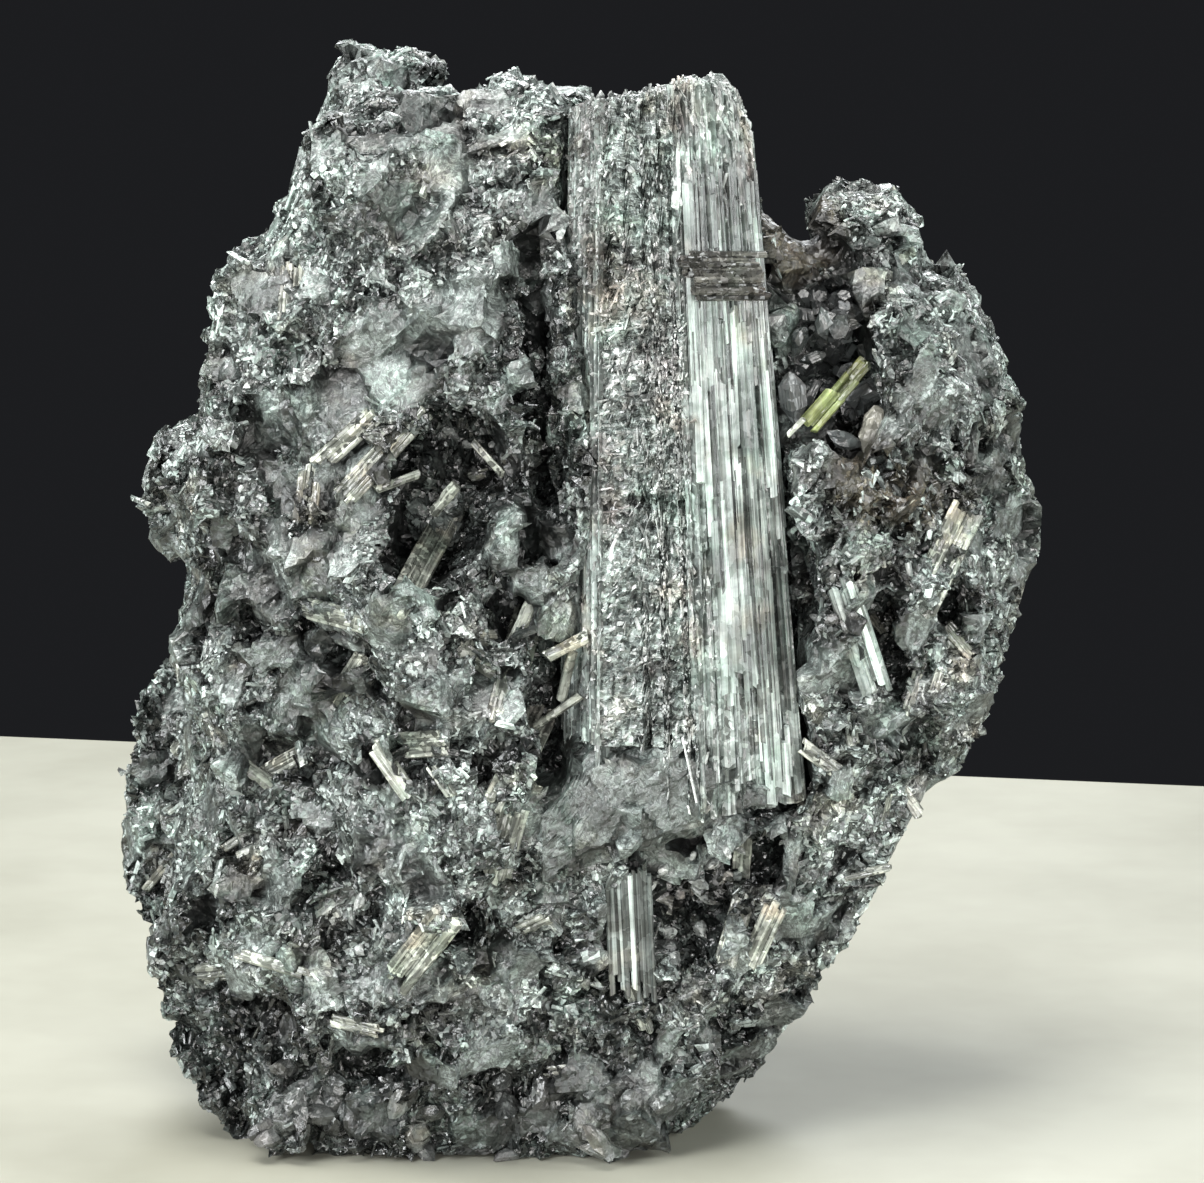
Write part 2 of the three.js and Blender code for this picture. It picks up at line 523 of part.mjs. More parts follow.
function named(name, solid, material) {
  const mesh = new THREE.Mesh(geometryOf(solid), material);
  mesh.name = name;
  return mesh;
}

const prismSchorl = new THREE.MeshStandardMaterial({ color: 0x3c403f, roughness: 0.3, metalness: 0.1 });
const grainySchorl = new THREE.MeshStandardMaterial({ color: 0x333635, roughness: 0.45, metalness: 0.1 });
const greyGrains = new THREE.MeshStandardMaterial({ color: 0x4b5254, roughness: 0.3, metalness: 0 });
const greenSchorl = new THREE.MeshStandardMaterial({ color: 0x7d8a45, roughness: 0.3, metalness: 0 });

const blank = joined([solidOf(massBlank()), ...LUMPS.map(lump)]);
const find = surfaceFinder(blank);
const lower = { ...seated(find, LOWER), seed: 52 };
const right = { ...seated(find, RIGHT), seed: 53 };
const green = { ...GREEN, seed: 54 };
const cross = joined(CROSS.map((spec, i) => crystal({ ...spec, seed: 50 + i })));
const prismRoom = alongPrism(prismSection(GAP), PRISM.bottom, PRISM.top);
const rightCrust = cut(hollowCrystals(HOLLOWS.right[0], 72, 8, 5.0), [grown(green, GAP)]);

const specimen = new THREE.Group();
specimen.name = "schorl_crystal_cluster";
specimen.add(
  named("schorl_mass", schorlMass(blank, find, [...CROSS, lower, right, green]), grainySchorl),
  named("main_crystal", mainCrystal(), prismSchorl),
  named("cross_crystal", largest(cut(cross, [prismRoom])), prismSchorl),
  named("lower_crystal", crystal(lower), prismSchorl),
  named("right_crystal", crystal(right), prismSchorl),
  named("green_crystal", crystal(green), greenSchorl),
  named("left_hollow_crystals", hollowCrystals(HOLLOWS.left[0], 71, 6, 5.4), grainySchorl),
  named("right_hollow_crystals", largest(rightCrust), greyGrains),
);

// The origin is at the middle of the base.
const box = new THREE.Box3().setFromObject(specimen);
specimen.position.set(-(box.min.x + box.max.x) / 2, -(box.min.y + box.max.y) / 2, -box.min.z);

export default specimen;
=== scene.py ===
"""Looks of a schorl (black tourmaline) crystal cluster, about 58 mm tall.

A large striated prism stands in a mass of fine black crystals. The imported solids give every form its
place, and this script gives them their crystal faces, grains and needles. Places and sizes are in
millimetres, in the part's frame: +Z up, the large prism's side facing -Y.
"""

import math
from collections import namedtuple
from functools import lru_cache, reduce

import bpy
import numpy as np
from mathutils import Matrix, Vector
from mathutils.bvhtree import BVHTree
from mathutils.kdtree import KDTree


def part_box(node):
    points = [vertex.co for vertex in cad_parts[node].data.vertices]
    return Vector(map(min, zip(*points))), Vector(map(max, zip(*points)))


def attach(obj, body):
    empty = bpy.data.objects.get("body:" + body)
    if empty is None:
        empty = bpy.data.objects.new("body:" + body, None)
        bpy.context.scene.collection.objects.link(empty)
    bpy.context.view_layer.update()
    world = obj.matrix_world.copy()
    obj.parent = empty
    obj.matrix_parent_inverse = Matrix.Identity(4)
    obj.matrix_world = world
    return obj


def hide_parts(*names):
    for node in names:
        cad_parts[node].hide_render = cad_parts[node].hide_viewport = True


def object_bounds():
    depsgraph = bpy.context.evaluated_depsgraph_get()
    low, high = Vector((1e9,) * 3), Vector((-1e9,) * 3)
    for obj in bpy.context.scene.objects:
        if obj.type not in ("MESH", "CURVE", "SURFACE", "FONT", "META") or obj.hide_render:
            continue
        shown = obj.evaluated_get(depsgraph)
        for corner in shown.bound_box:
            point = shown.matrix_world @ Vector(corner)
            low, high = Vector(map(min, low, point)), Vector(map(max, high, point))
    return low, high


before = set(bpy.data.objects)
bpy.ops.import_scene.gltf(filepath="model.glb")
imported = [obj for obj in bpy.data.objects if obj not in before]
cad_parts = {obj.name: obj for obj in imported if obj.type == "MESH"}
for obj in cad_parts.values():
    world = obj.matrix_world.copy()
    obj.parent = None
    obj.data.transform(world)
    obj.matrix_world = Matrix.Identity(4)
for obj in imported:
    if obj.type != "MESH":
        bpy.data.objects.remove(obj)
solid_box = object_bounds()

MM = 0.001
UP = np.array((0, 0, 1.0))
FORWARD = np.array((0, -1.0, 0))

# Places that are listed one by one are measured from the mass's middle line, which stands here in the frame.
MIDDLE_LINE = np.array((0.425, -0.02, 0.0))

# The camera stands where the photograph's did.
LOOK_AT = (1.141, -0.762, 28.873)
DISTANCE = 260.0
ELEVATION = 10.0
LENS = 146.1
SENSOR_WIDTH = 36.0

# The floor is a pale slab that ends behind the specimen, further back on the left than on the right.
FLOOR_HALF_WIDTH = 420.0
FLOOR_FRONT = -330.0
FLOOR_BACK = (176.0, 8.0)
FLOOR_COLOURS = (0.245, 0.244, 0.198, 1), (0.3, 0.3, 0.25, 1)
FLOOR_IOR = 1.45
FLOOR_ROUGHNESS = 0.6

# Soft lights: place, what it faces, width, height, power in watts and colour.
LIGHTS = {
    "overhead": ((-60, -60, 330), (0, 0, 30), 220, 170, 2.0, (1.0, 0.99, 0.96)),
    "front_left": ((-210, -240, 170), (0, -5, 24), 120, 150, 1.75, (0.97, 0.99, 1.0)),
    "right_strip": ((270, -70, 70), (8, -8, 32), 60, 260, 0.9, (0.96, 1.0, 0.99)),
    "front_fill": ((60, -330, 60), (0, -10, 26), 180, 120, 1.0, (1.0, 0.98, 0.96)),
    "behind": ((60, 280, 200), (0, 5, 36), 240, 120, 0.9, (0.95, 0.98, 1.0)),
}
ROOM_LIGHT = (0.012, 0.0125, 0.014)

# A surface is broken into flats this far apart, tilted and sunk at random. Strength is how flat they are,
# and calm is what it is multiplied by where the surface is smooth.
Flats = namedtuple("Flats", "spacing tilt offset strength seed calm", defaults=(1.0,))
FLAT_REACH = 0.45  # of the spacing: the most that a point moves to reach its flat
LEAST_SLOPE = 0.5

# The mass is remeshed in small squares and then broken into large flats and into small ones.
SQUARE = 0.36
FLATS = [Flats(2.5, 0.3, 0.5, 0.6, 1, 1.5), Flats(1.05, 0.42, 0.16, 0.7, 2, 0.15)]
PLATE_SHARE = 0.34  # of the large flats stay smooth plates
PLATE_CALM = 0.92
CREVICE_SHARE = 0.55  # of the borders between large flats are open cracks
CREVICE_WIDTH = 0.5
CREVICE_DEPTH = 0.7
BORDER_KINDS = 997  # a border is open or shut by one of this many draws
# The rims that face sideways are rounder: how much of the breaking up they lose, and what counts as one.
RIM_SMOOTH = 0.62
RIM_BAND = 0.6

# Small crystals all over the mass. Each piece holds one size: how many, the median length and width,
# how far they lift out of the surface, and the spacing of the bundles that lie the same way.
Felt = namedtuple("Felt", "name count length width lift spacing seed")
FELT = [
    Felt("felt_fine", 12300, 0.32, 0.2, 0.12, 1.6, 100),
    Felt("felt_middle", 11500, 0.5, 0.23, 0.05, 2.4, 110),
    Felt("felt_coarse", 2600, 0.85, 0.36, 0.03, 3.6, 120),
]
TRIES = 2  # places tried for each crystal, as some of them are left out
FELT_WIDTHS = (0.1, 0.8)
FELT_STOUTEST, FELT_LONGEST = 1.1, 1.3  # times its width, and in millimetres
FELT_VARIES = (0.42, 0.35)  # how far lengths and widths are off their medians
FELT_FLATNESS = (0.4, 0.85)
FELT_SUNK = (0.05, 0.55)  # of its thickness
FELT_STRAY = 0.35  # how much a crystal strays from its bundle's way
FELT_MIXED = 0.3  # how far the bundles run into each other
FELT_SMOOTH = 1.5  # how much the felt follows the smooth form rather than its flats
FACING_STRAY = 0.25  # how much a crystal's flat side strays from facing out
FELT_CLEARANCE = 0.55  # from the large prism, which the felt leaves bare, but for its top left edge
FELT_LOWEST = 0.4
MERGED = (47.5, 1.6)  # above this height and left of this x

# How much of the sky a place sees: the spacing of the places where it is worked out, how many ways, how
# far, and from how high above the surface.
SKY_SPACING = 1.0
SKY_WAYS = 22
SKY_REACH = 7.0
SKY_LIFT = 0.35
CRACK_SHADE = (1.25, 0.9)  # for each millimetre of a crack's depth, and at most
DEEP_SHADE = 0.85
BASE_HEIGHTS, BASE_LIGHT = (0, 14.0), (0.2, 1)  # the lowest part of the mass is darker

# A place on the front keeps its whole share up to (PLACE_WHOLE - 1) / PLACE_FADE of its radius.
PLACE_WHOLE = 3.4
PLACE_FADE = 2.6
# Smooth broken places on the front, which carry few crystals: x, z, radius and how smooth.
CALM = [
    (-9.4, 42.8, 2.5, 1.0), (-5.6, 45.0, 2.0, 1.0), (-3.3, 33.8, 1.7, 0.95), (3.4, 21.4, 4.4, 1.0),
    (-1.4, 19.6, 1.8, 0.9), (5.6, 18.2, 2.6, 0.95), (13.4, 37.2, 1.4, 0.8), (11.6, 47.8, 2.2, 0.9),
    (-15.4, 3.2, 1.5, 0.85), (-10.9, 2.4, 1.6, 0.95), (-5.6, 2.3, 1.5, 0.8), (1.4, 2.0, 1.9, 0.9),
    (4.4, 2.4, 1.4, 0.9), (-13.2, 38.6, 2.0, 0.8), (-16.4, 30.6, 1.9, 0.8), (-6.8, 25.6, 1.8, 0.8),
    (-14.2, 24.2, 1.9, 0.7), (-9.6, 17.4, 2.0, 0.8), (-4.6, 8.8, 1.8, 0.7), (12.6, 26.8, 1.4, 0.9),
    (18.4, 40.0, 1.7, 0.7), (-9.8, 50.4, 2.6, 0.6),
]
# Places where the schorl is brown: x, z, radius and how brown.
BROWN = [(14.8, 36.4, 2.2, 1.0), (17.0, 35.4, 1.8, 1.0), (11.4, 48.0, 2.4, 1.0)]
# Deep places on the front, which little light reaches: x, z, radius and how dark.
DEEP = [
    (12.0, 31.6, 1.5, 0.85), (12.4, 28.6, 1.0, 0.7), (13.2, 33.6, 0.9, 0.6), (-3.2, 29.4, 1.3, 0.85),
    (-6.6, 38.2, 2.2, 0.5), (-6.2, 34.6, 1.8, 0.8), (-1.2, 44.0, 0.8, 0.9), (-1.2, 41.0, 0.8, 0.9),
    (-1.2, 38.0, 0.8, 0.8), (-1.3, 35.0, 0.7, 0.6), (-0.6, 26.0, 1.1, 0.7), (-0.8, 22.0, 1.0, 0.8),
    (-12.6, 25.6, 0.9, 0.7), (-9.0, 21.6, 0.8, 0.6), (-18.4, 15.0, 1.3, 0.7), (-20.4, 12.4, 1.2, 0.6),
    (12.8, 44.6, 1.6, 0.6), (-8.6, 5.2, 1.2, 0.7), (-1.6, 4.4, 1.4, 0.7), (8.2, 5.4, 1.3, 0.6),
    (-12.8, 2.0, 0.8, 0.7), (-16.5, 34.0, 6.5, 0.42), (18.2, 38.5, 6.0, 0.45), (-11.1, 55.8, 3.0, 0.6),
    (14.9, 46.2, 1.3, 0.6),
]

# The large prism. Its section is given at REFERENCE_Z, and it widens downwards and leans back upwards.
REFERENCE_Z = 30.0
WIDEN_PER_MM = 0.0085
LEAN_PER_MM = 0.03
PRISM_ROWS = 175
COLUMN_SPACING = 0.13
THINNEST_RIB = 0.02
GROOVE_WIDTH, GROOVE_SHARE = 0.07, 0.22  # at most that wide, or that share of its rib
RIB_SPAN = 0.97  # of the rib's width
IN_GROOVE = 2.0
RAY_INSET = 0.35
RIB_UNEVEN = 1.5  # above 1, most parts of a rib stand back only a little
RIB_TILT = 0.07
RIB_CROWN = 0.05
PALE_RIBS, DARK_RIBS = (0.75, 1), 0.45  # how pale the parts of a rib are
# Its faces, from the left side round the front: first corner, the widths of the ribs, the depth of the
# grooves between them, the most that a rib stands back, how often it breaks, and how pale it is.
Face = namedtuple("Face", "corner ribs groove back breaks pale")
PRISM_FACES = [
    Face((-1.04, -9.06), (0.18, 0.42), 0.3, 0.3, 7, 0.22),
    Face((0.86, -13.46), (0.4, 0.8), 0.0, 0.1, 14, 0.3),
    Face((5.86, -14.06), (0.2, 0.6), 0.34, 0.34, 6, 0.3),
    Face((10.86, -9.66), (0.25, 0.6), 0.3, 0.3, 4, 0.6),
    Face((10.86, -3.96), (0.9, 1.4), 0.1, 0.1, 2, 0.3),
    Face((4.96, -0.36), (0.9, 1.4), 0.1, 0.1, 2, 0.3),
    Face((-0.74, -3.56), (0.9, 1.4), 0.1, 0.1, 2, 0.3),
]
FRONT_FACE, RIGHT_FACE, BACK_RIGHT_FACE = 1, 2, 3
LEFT_FRONT = PRISM_FACES[FRONT_FACE].corner
PEAK_X = [6.3, 6.9, 8.0, 8.5]  # the top right corner is broken off: its height at each x
PEAK_Z = [58.0, 57.0, 55.6, 53.9]
# The ribs of the right faces step back near their ends: by up to how long a stretch, and how deep.
RIB_FOOT = (3.4, 0.4)
RIB_HEAD = (2.6, 0.22)
FRONT_FOOT = 0.5  # how far the front runs down into the mass
FRONT_SETBACK = 0.12
FRONT_SHADE = 0.4
NOTCH_FROM, NOTCH_HEIGHTS, NOTCH_DEPTH = 4.9, (25.2, 31.4), 1.0  # the right face's lost corner
PALE_HEIGHTS = [19, 24, 44, 47, 56]  # the pale streaks fade towards the top
PALE_SHARES = [0.9, 1.0, 1.0, 0.7, 0.4]
FRONT_FLATS = [Flats(1.3, 0.22, 0.26, 0.8, 21), Flats(0.5, 0.55, 0.14, 0.85, 22)]
TOP_FLATS = Flats(0.8, 0.35, 0.5, 0.8, 23)
TOP_RINGS = 9
TOP_SHADE = 0.2
# Ledges across the front face, each overhanging: height, how far down its hollow runs, depth.
SMOOTH_LEDGE, LEDGE_BARE = 35.7, 0.4  # flakes keep that far from it
LEDGES = [
    (SMOOTH_LEDGE, 1.4, 0.55), (36.8, 0.5, 0.12), (37.8, 0.6, 0.2), (38.9, 0.5, 0.15), (40.0, 0.6, 0.22),
    (41.2, 0.5, 0.15), (43.4, 0.6, 0.16), (47.6, 0.9, 0.36), (49.4, 0.5, 0.15), (30.6, 0.5, 0.16),
    (27.3, 0.7, 0.3), (52.1, 0.6, 0.25), (24.6, 0.5, 0.25),
]
LEDGE_WAVE = 0.22
LEDGE_WAVES_PER_MM = 1.7
# Flakes on the prism: which part of it, how many, their median length and width, the way they run (across
# the face, up it), between which heights, how much each strays from that, and how far from the front's
# right edge they reach.
Flakes = namedtuple("Flakes", "part count length width way heights stray reach", defaults=(99.0,))
FLAKES = [
    Flakes("front", 1500, 0.55, 0.13, (1, 0.1), (35, 47.5), 0.22),
    Flakes("front", 700, 0.4, 0.14, (1, 0.4), (22, 35), 0.5),
    Flakes("front", 700, 0.4, 0.2, (0.5, 1), (18, 58), 1.0),
    Flakes("front", 300, 0.9, 0.12, (0, 1), (20, 47), 0.12),
    Flakes("left", 1300, 0.4, 0.14, (0, 1), (18, 58), 0.4),
    Flakes("left", 900, 0.4, 0.22, (1, 1), (46, 58), 1.0),
    Flakes("top", 500, 0.4, 0.22, (1, 1), (40, 60), 1.0),
    Flakes("right", 500, 0.8, 0.18, (-0.25, 1), (49.5, 58), 0.3),
    Flakes("right", 420, 0.5, 0.16, (0.1, 1), (18, 32), 0.4, 1.3),
]
FLAKES_VARY = (0.4, 0.35)
FLAKE_FLATNESS = (0.35, 0.7)
FLAKE_RISE = 0.12
FLAKE_SUNK = 0.14  # of its width
SIDE_SKY = 0.42  # how much of the sky the prism's left side sees
# Pale bars side by side on the prism's right face: their least and most width and length, how far they
# stand proud, and how much of the face they leave free on its left and on its right at each height.
# The gaps are dark bars that stand just as proud.
BARS = 190
GAPS = 24
BAR_WIDTHS = (0.16, 0.62)
GAP_WIDTHS = (0.09, 0.15)
BAR_LENGTHS = (2.4, 15.0)
BAR_SHORT = 1.3  # above 1, more of them are short
BAR_PROUD, BAR_SUNK = (-0.05, 0.2), 0.25  # BAR_SUNK is a share of its width
GAP_PROUD = 0.18
BAR_ENDS = 1.5  # how far under BARS_TOP the highest bars can end
PALE_BARS = 0.7  # of the bars
PALE_BAR, DARK_BAR = (0.7, 1), (0, 0.4)
BAR_SLANT = 0.012
BAR_FLATNESS = 0.7
BARS_HEIGHTS = [19.5, 23.4, 23.5, 25.2, 25.3, 31, 31.5, 36, 45, 54]
BARS_FREE_LEFT = [3.9, 3.9, 1.8, 1.7, 1.7, 1.3, 1.1, 0.3, 0.0, 0.0]
BARS_FREE_RIGHT = [0.0, 0.0, 0.0, 0.0, 1.9, 1.5, 0.0, 0.0, 0.0, 0.0]
BARS_TOP = 53.0

# The smooth slab under the prism's front: its reach, its lower and upper edge at steps along it, and how
# far it stands out of the surface there.
FOOT_X = (-1.9, 9.9)
FOOT_AT = [0, 0.2, 0.45, 0.65, 0.78, 0.88, 1]
FOOT_LOW = [15.8, 16.4, 17.2, 18.0, 18.6, 19.0, 19.4]
FOOT_HIGH = [19.4, 22.4, 23.2, 23.4, 22.6, 21.2, 20.2]
FOOT_PROUD = [0.5, 0.5, 0.5, 1.0, 1.2, 1.2, 0.7]
FOOT_STEPS = (64, 36)
FOOT_RIPPLES = (0.12, 2.9), (0.2, 2.1)  # of its lower and upper edge: how high and how close
FOOT_ROUNDING = (9, 7, 3.5)  # how steeply it rises from its sides, its lower and its upper edge
FOOT_SMOOTHING = 14
FOOT_THICKNESS = 0.6
FOOT_SKY = 0.35
FOOT_FLATS = [Flats(2.4, 0.14, 0.1, 0.6, 31), Flats(0.7, 0.1, 0.04, 0.6, 32)]

# How a crystal is built: its sides, the rings of points along it, how narrow its ends are, by how much of
# a whole turn it can be turned about its length, and how much more even its sides are than usual.
Shape = namedtuple("Shape", "sides rings taper turned even", defaults=(1.0, 1.0, 1.0))
NEEDLE = Shape(5, 2)
BAR = Shape(6, 4, turned=0.02)
SLENDER = Shape(9, 4, even=1.4)
ROUND_GRAIN = Shape(7, 5, taper=0.45)
LOOSE_GRAIN = Shape(7, 4, taper=0.6)
CRUST_GRAIN = Shape(6, 3)
CORNERS_UNEVEN, UNTURNED = 0.6, 0.3  # UNTURNED is how much of that a crystal keeps that isn't turned
SIDES_UNEVEN = 0.1
RINGS_UNEVEN = 0.05
END_SLANT = 0.35
GROWN_APART = 40  # how far apart the crystals' own places start, so that no two have the same lines
# The slender prisms of a bundle: how much wider they are than their even share, how far they stand out
# of line, slip along it and are drawn in, what share of the slip their upper ends have, and by how much
# their widths differ.
SLENDER_WIDE = 1.45
SLENDER_SHIFT = 0.22
SLENDER_SLIP = 0.05
SLENDER_DRAWN = 0.1
SLENDER_END_SLIP = 0.6
SLENDER_WIDTHS = (0.8, 1.25)
SLENDER_FLATNESS = 0.9
# The two short prisms grown across the large one's right face: ends and width.
CROSS = [
    ((5.0, -14.2, 47.8), (9.1, -10.55, 47.4), 1.2),
    ((5.7, -13.9, 46.7), (9.5, -10.25, 46.3), 1.4),
]
CROSS_FACING = (0.66, -0.75, 0)
CROSS_COUNT, RIGHT_COUNT = 5, 6  # slender prisms in each of these, and in the right single crystal
# Crystals that show on the front: x and z of each end, width, how far they stand proud, how many
# slender prisms lie side by side in each, and how pale they are.
FRONT_CRYSTALS = [
    (-14.8, 43.9, -14.7, 47.0, 1.4, 0.55, 6, 0.9), (-12.2, 35.4, -8.0, 40.0, 1.2, 0.85, 5, 0.5),
    (-13.4, 37.0, -10.2, 39.9, 1.0, 0.55, 4, 0.6), (-14.0, 34.4, -13.7, 37.0, 1.1, 0.65, 4, 0.9),
    (-9.2, 30.2, -6.7, 34.1, 1.4, 1.35, 5, 0.6), (-14.1, 29.8, -10.9, 29.5, 1.1, 0.65, 5, 0.5),
    (-12.6, 24.8, -11.0, 27.6, 0.9, 0.55, 4, 0.5), (-4.0, 24.6, -2.7, 29.0, 1.5, 0.85, 7, 0.4),
    (-4.1, 20.4, -1.9, 23.9, 1.6, 0.85, 6, 0.6), (-10.0, 22.8, -6.8, 23.6, 1.3, 0.55, 5, 0.5),
    (-4.4, 16.0, -3.4, 19.8, 1.5, 0.65, 5, 0.7), (-9.5, 10.8, -6.6, 14.9, 1.6, 0.95, 5, 0.5),
    (8.4, 15.2, 8.5, 17.6, 0.8, 0.65, 3, 0.8), (7.5, 11.2, 8.5, 14.6, 1.1, 0.75, 4, 0.8),
    (8.8, 10.9, 10.2, 14.2, 1.1, 0.75, 4, 0.7), (17.4, 29.6, 20.0, 34.6, 1.7, 0.55, 6, 0.3),
    (-17.8, 19.2, -14.2, 21.4, 1.4, 0.55, 5, 0.4), (-17.8, 11.3, -13.9, 10.6, 0.5, 0.5, 2, 0.4),
    (16.9, 46.4, 15.8, 50.0, 1.5, 0.5, 5, 0.55),
]
FRONT_IN, FRONT_OUT = 0.3, 0.5  # of its width into the surface, and of how far it stands proud out of it
FRONT_TONE = 0.85  # of each one's own
NEEDLE_TONE = 0.75
# Single needles with both ends in the air or on a rim: ends and width.
NEEDLES = [
    ((-5.6, -9.8, 38.4), (-4.0, -10.4, 36.7), 0.34), ((-7.7, -9.6, 34.3), (-6.3, -10.6, 36.1), 0.36),
    ((-10.4, -11.4, 36.0), (-8.2, -10.6, 36.7), 0.38), ((-1.8, -11.8, 27.4), (0.5, -12.6, 28.7), 0.4),
    ((-1.0, -11.4, 25.0), (-0.3, -12.2, 28.1), 0.36), ((-3.6, -11.0, 27.6), (-2.2, -10.4, 30.6), 0.4),
    ((-2.6, -11.2, 23.4), (0.2, -12.2, 25.6), 0.36), ((10.6, -10.6, 38.7), (11.4, -11.0, 39.6), 0.2),
]
# More bundles at random: how many, how much they face forward, their clearance from the prism and the
# base, least and most length and width, and the height that they crowd round.
BLADES = 120
BLADE_FACING = 0.72
BLADE_CLEARANCE = 1.5
BLADE_LOWEST = 3
BLADE_LENGTHS = (1.3, 3.2)
BLADE_WIDTHS = (0.35, 0.85)
BLADE_HEIGHT, BLADE_SPREAD = 22.0, 13.0
BLADE_RISE = 0.12
BLADE_SUNK = 0.1  # of its width
BLADE_TONES = (0.2, 0.85)
BLADE_COUNTS = (2, 5)
BLADE_PLACES = 1440
MOST_CALM = 0.5
# The green crystal, from its lower end: the shares of its length where each part starts and ends, how
# much of its width that is, and how bright. Three slender prisms lie side by side in each part.
GREEN_PARTS = [(0.0, 0.5, 0.9, 0.8), (0.42, 0.74, 0.8, 0.5), (0.68, 1.0, 0.66, 0.15)]
GREEN_TONES = (1.0, 0.84, 1.04)
GREEN_STEADY = 0.85
# How pale each slender prism of the lower single crystal is, from the left.
LOWER_TONES = (0.6, 1.0, 0.1, 1.0, 0.95, 0.05, 1.0, 0.1, 0.05, 0.5, 0.05, 0.1)
# Stout loose grains: x, z and radius of each place, how many, their size, and how much sky they see.
LOOSE_GRAINS = [
    (5.0, 13.6, 2.7, 30, 0.62, 0.75), (7.2, 16.4, 1.6, 12, 0.55, 0.5), (-14.4, 2.8, 2.6, 12, 1.2, 0.18),
    (-9.4, 2.2, 2.4, 12, 1.1, 0.18), (-3.4, 2.0, 2.8, 14, 1.2, 0.18), (2.8, 1.8, 2.6, 12, 1.2, 0.18),
    (-5.4, 36.4, 2.6, 12, 0.5, 0.3), (-3.0, 29.2, 1.6, 10, 0.45, 0.3), (-10.5, 12.5, 3.0, 16, 0.6, 0.36),
    (12.2, 30.4, 2.2, 14, 0.5, 0.3),
]
LOOSE_PLACES = 60000
LOOSE_FACING = 0.2
LOOSE_LENGTHS = (0.9, 1.7)
LOOSE_WIDTHS = (0.7, 1.2)
LOOSE_FLATNESS = 0.9
LOOSE_OUTWARD = 0.4  # how much they stand up from the surface
LOOSE_PROUD = 0.1
GRAIN_FLATNESS = 0.85
HOLLOW_SKY = 0.32  # how much of the sky the grains in the hollows see
CRUST_SKY = 0.8 * HOLLOW_SKY
# Round grains in the right hollow, by finish: middle, width, length and which way the length runs.
HOLLOW_GRAINS = {
    "tan": [((15.0, -9.0, 38.7), 1.4, 2.2, (0.3, 0.1, 1))],
    "grey": [
        ((10.9, -9.6, 40.6), 1.3, 1.9, (-0.1, 0, 1)), ((13.5, -9.5, 38.3), 0.9, 1.6, (1, 0, -0.3)),
        ((11.2, -8.4, 43.3), 0.9, 1.3, (0.5, 0, 1)), ((12.5, -7.8, 44.1), 0.8, 1.2, (-0.4, 0, 1)),
        ((12.0, -8.0, 42.3), 0.7, 1.1, (1, 0, 0.4)), ((14.6, -9.5, 36.9), 0.7, 1.1, (1, 0, 0.2)),
        ((16.0, -9.3, 40.2), 0.6, 1.3, (0.2, 0, 1)),
    ],
    "pale": [((15.3, -8.8, 41.2), 0.5, 0.7, (0, 0, 1))],
}
# Crusts of the hollows: solid, piece, how many grains, median length and width, finish, slot and seed.
CRUSTS = [
    ("left_hollow_crystals", "left_crust", 60, 1.0, 0.6, "needle_schorl", "grainy_schorl", 71),
    ("right_hollow_crystals", "right_crust", 70, 1.3, 0.9, "grey_grains", "grey_grains", 75),
]
CRUST_VARIES = (0.3, 0.25)
CRUST_STRAY = 0.5
CRUST_SUNK, CRUST_PROUD = 0.75, 0.25  # of a grain's length

# Finishes of crystals: the least brightness, what a pale crystal, a pale flake of its surface and a pale
# line along it add to it, the spacing of the lines, the size and tilt of the small faces, the tint, and
# how much longer than wide a line's pieces are. The pale flakes are partly the crystals' own paler tone
# and partly painted glints.
NEUTRAL = (0.87, 1.0, 0.95)
FINISHES = {
    "needle_schorl": (0.03, 0.36, 0.36, 0.06, 0.11, 0.25, 0.5),
    "prism_schorl": (0.05, 0.7, 0.22, 0.25, 0.16, 0.3, 0.4),
    "pale_schorl": (0.02, 0.48, 0.08, 0.06, 0.1, 0.5, 0.2, NEUTRAL, 60.0),
    "grain_schorl": (0.1, 0.3, 0.3, 0.05, 0.12, 0.25, 0.6, (0.94, 1.0, 0.97)),
    "brown_schorl": (0.008, 0.06, 0.05, 0.07, 0.16, 0.35, 1.1, (1.02, 1.0, 0.9)),
    "blade_schorl": (0.04, 0.5, 0.25, 0.2, 0.14, 0.3, 0.5, (0.94, 1.0, 0.87)),
    "green_schorl": (0.035, 0.4, 0.06, 0.05, 0.12, 0.4, 0.35, (0.82, 1.0, 0.42)),
    "grey_grains": (0.03, 0.05, 0.08, 0.0, 0.3, 0.5, 0.4, (0.9, 1.0, 1.0)),
    "tan_grain": (0.18, 0.12, 0.2, 0.02, 0.3, 0.4, 0.6, (1.02, 1.0, 0.86)),
}
FELT_TINT = (0.86, 1.0, 0.95)
# Soft tints and sheens: name, where in the noise it is taken, where it starts, and its hue. Brown is the
# schorl's own warmer tone; pink and green are a painted sheen, the thin interference colours of its faces.
TINTS_AND_SHEENS = [
    ("Brown", 0.0, 0.56, (1.25, 0.92, 0.72, 1)),
    ("Pink", 31.0, 0.54, (1.16, 0.95, 1.0, 1)),
    ("Green", 67.0, 0.5, (0.88, 1.08, 0.97, 1)),
]
TINT_AND_SHEEN_SIZE = 3.4
TINT_AND_SHEEN_STRENGTH = 0.5
BROWN_HUE = (0.3, 0.235, 0.18, 1)
SCHORL_IOR = 1.64
# The factor that the brightness drifts by: the size of its patches and what it is taken from.
PATCH_SIZE = 2.6
PATCH_NOISE = (0.34, 0.66)
# What little sky takes from the brightness: sky seen, from least to most, and share left.
SKY_SEEN = (0.12, 0.62)
SKY_LEFT = (0.12, 1.0)


def seeded(number):
    return np.random.default_rng(number)


def unit(vectors):
    lengths = np.linalg.norm(vectors, axis=-1, keepdims=True)
    return vectors / np.maximum(lengths, 1e-9)


def dots(first, second):
    return np.einsum("...j,...j->...", first, second)


def strayed(random, ways, share):
    """Ways, or places, that each stray at random."""
    return ways + share * random.normal(size=ways.shape)


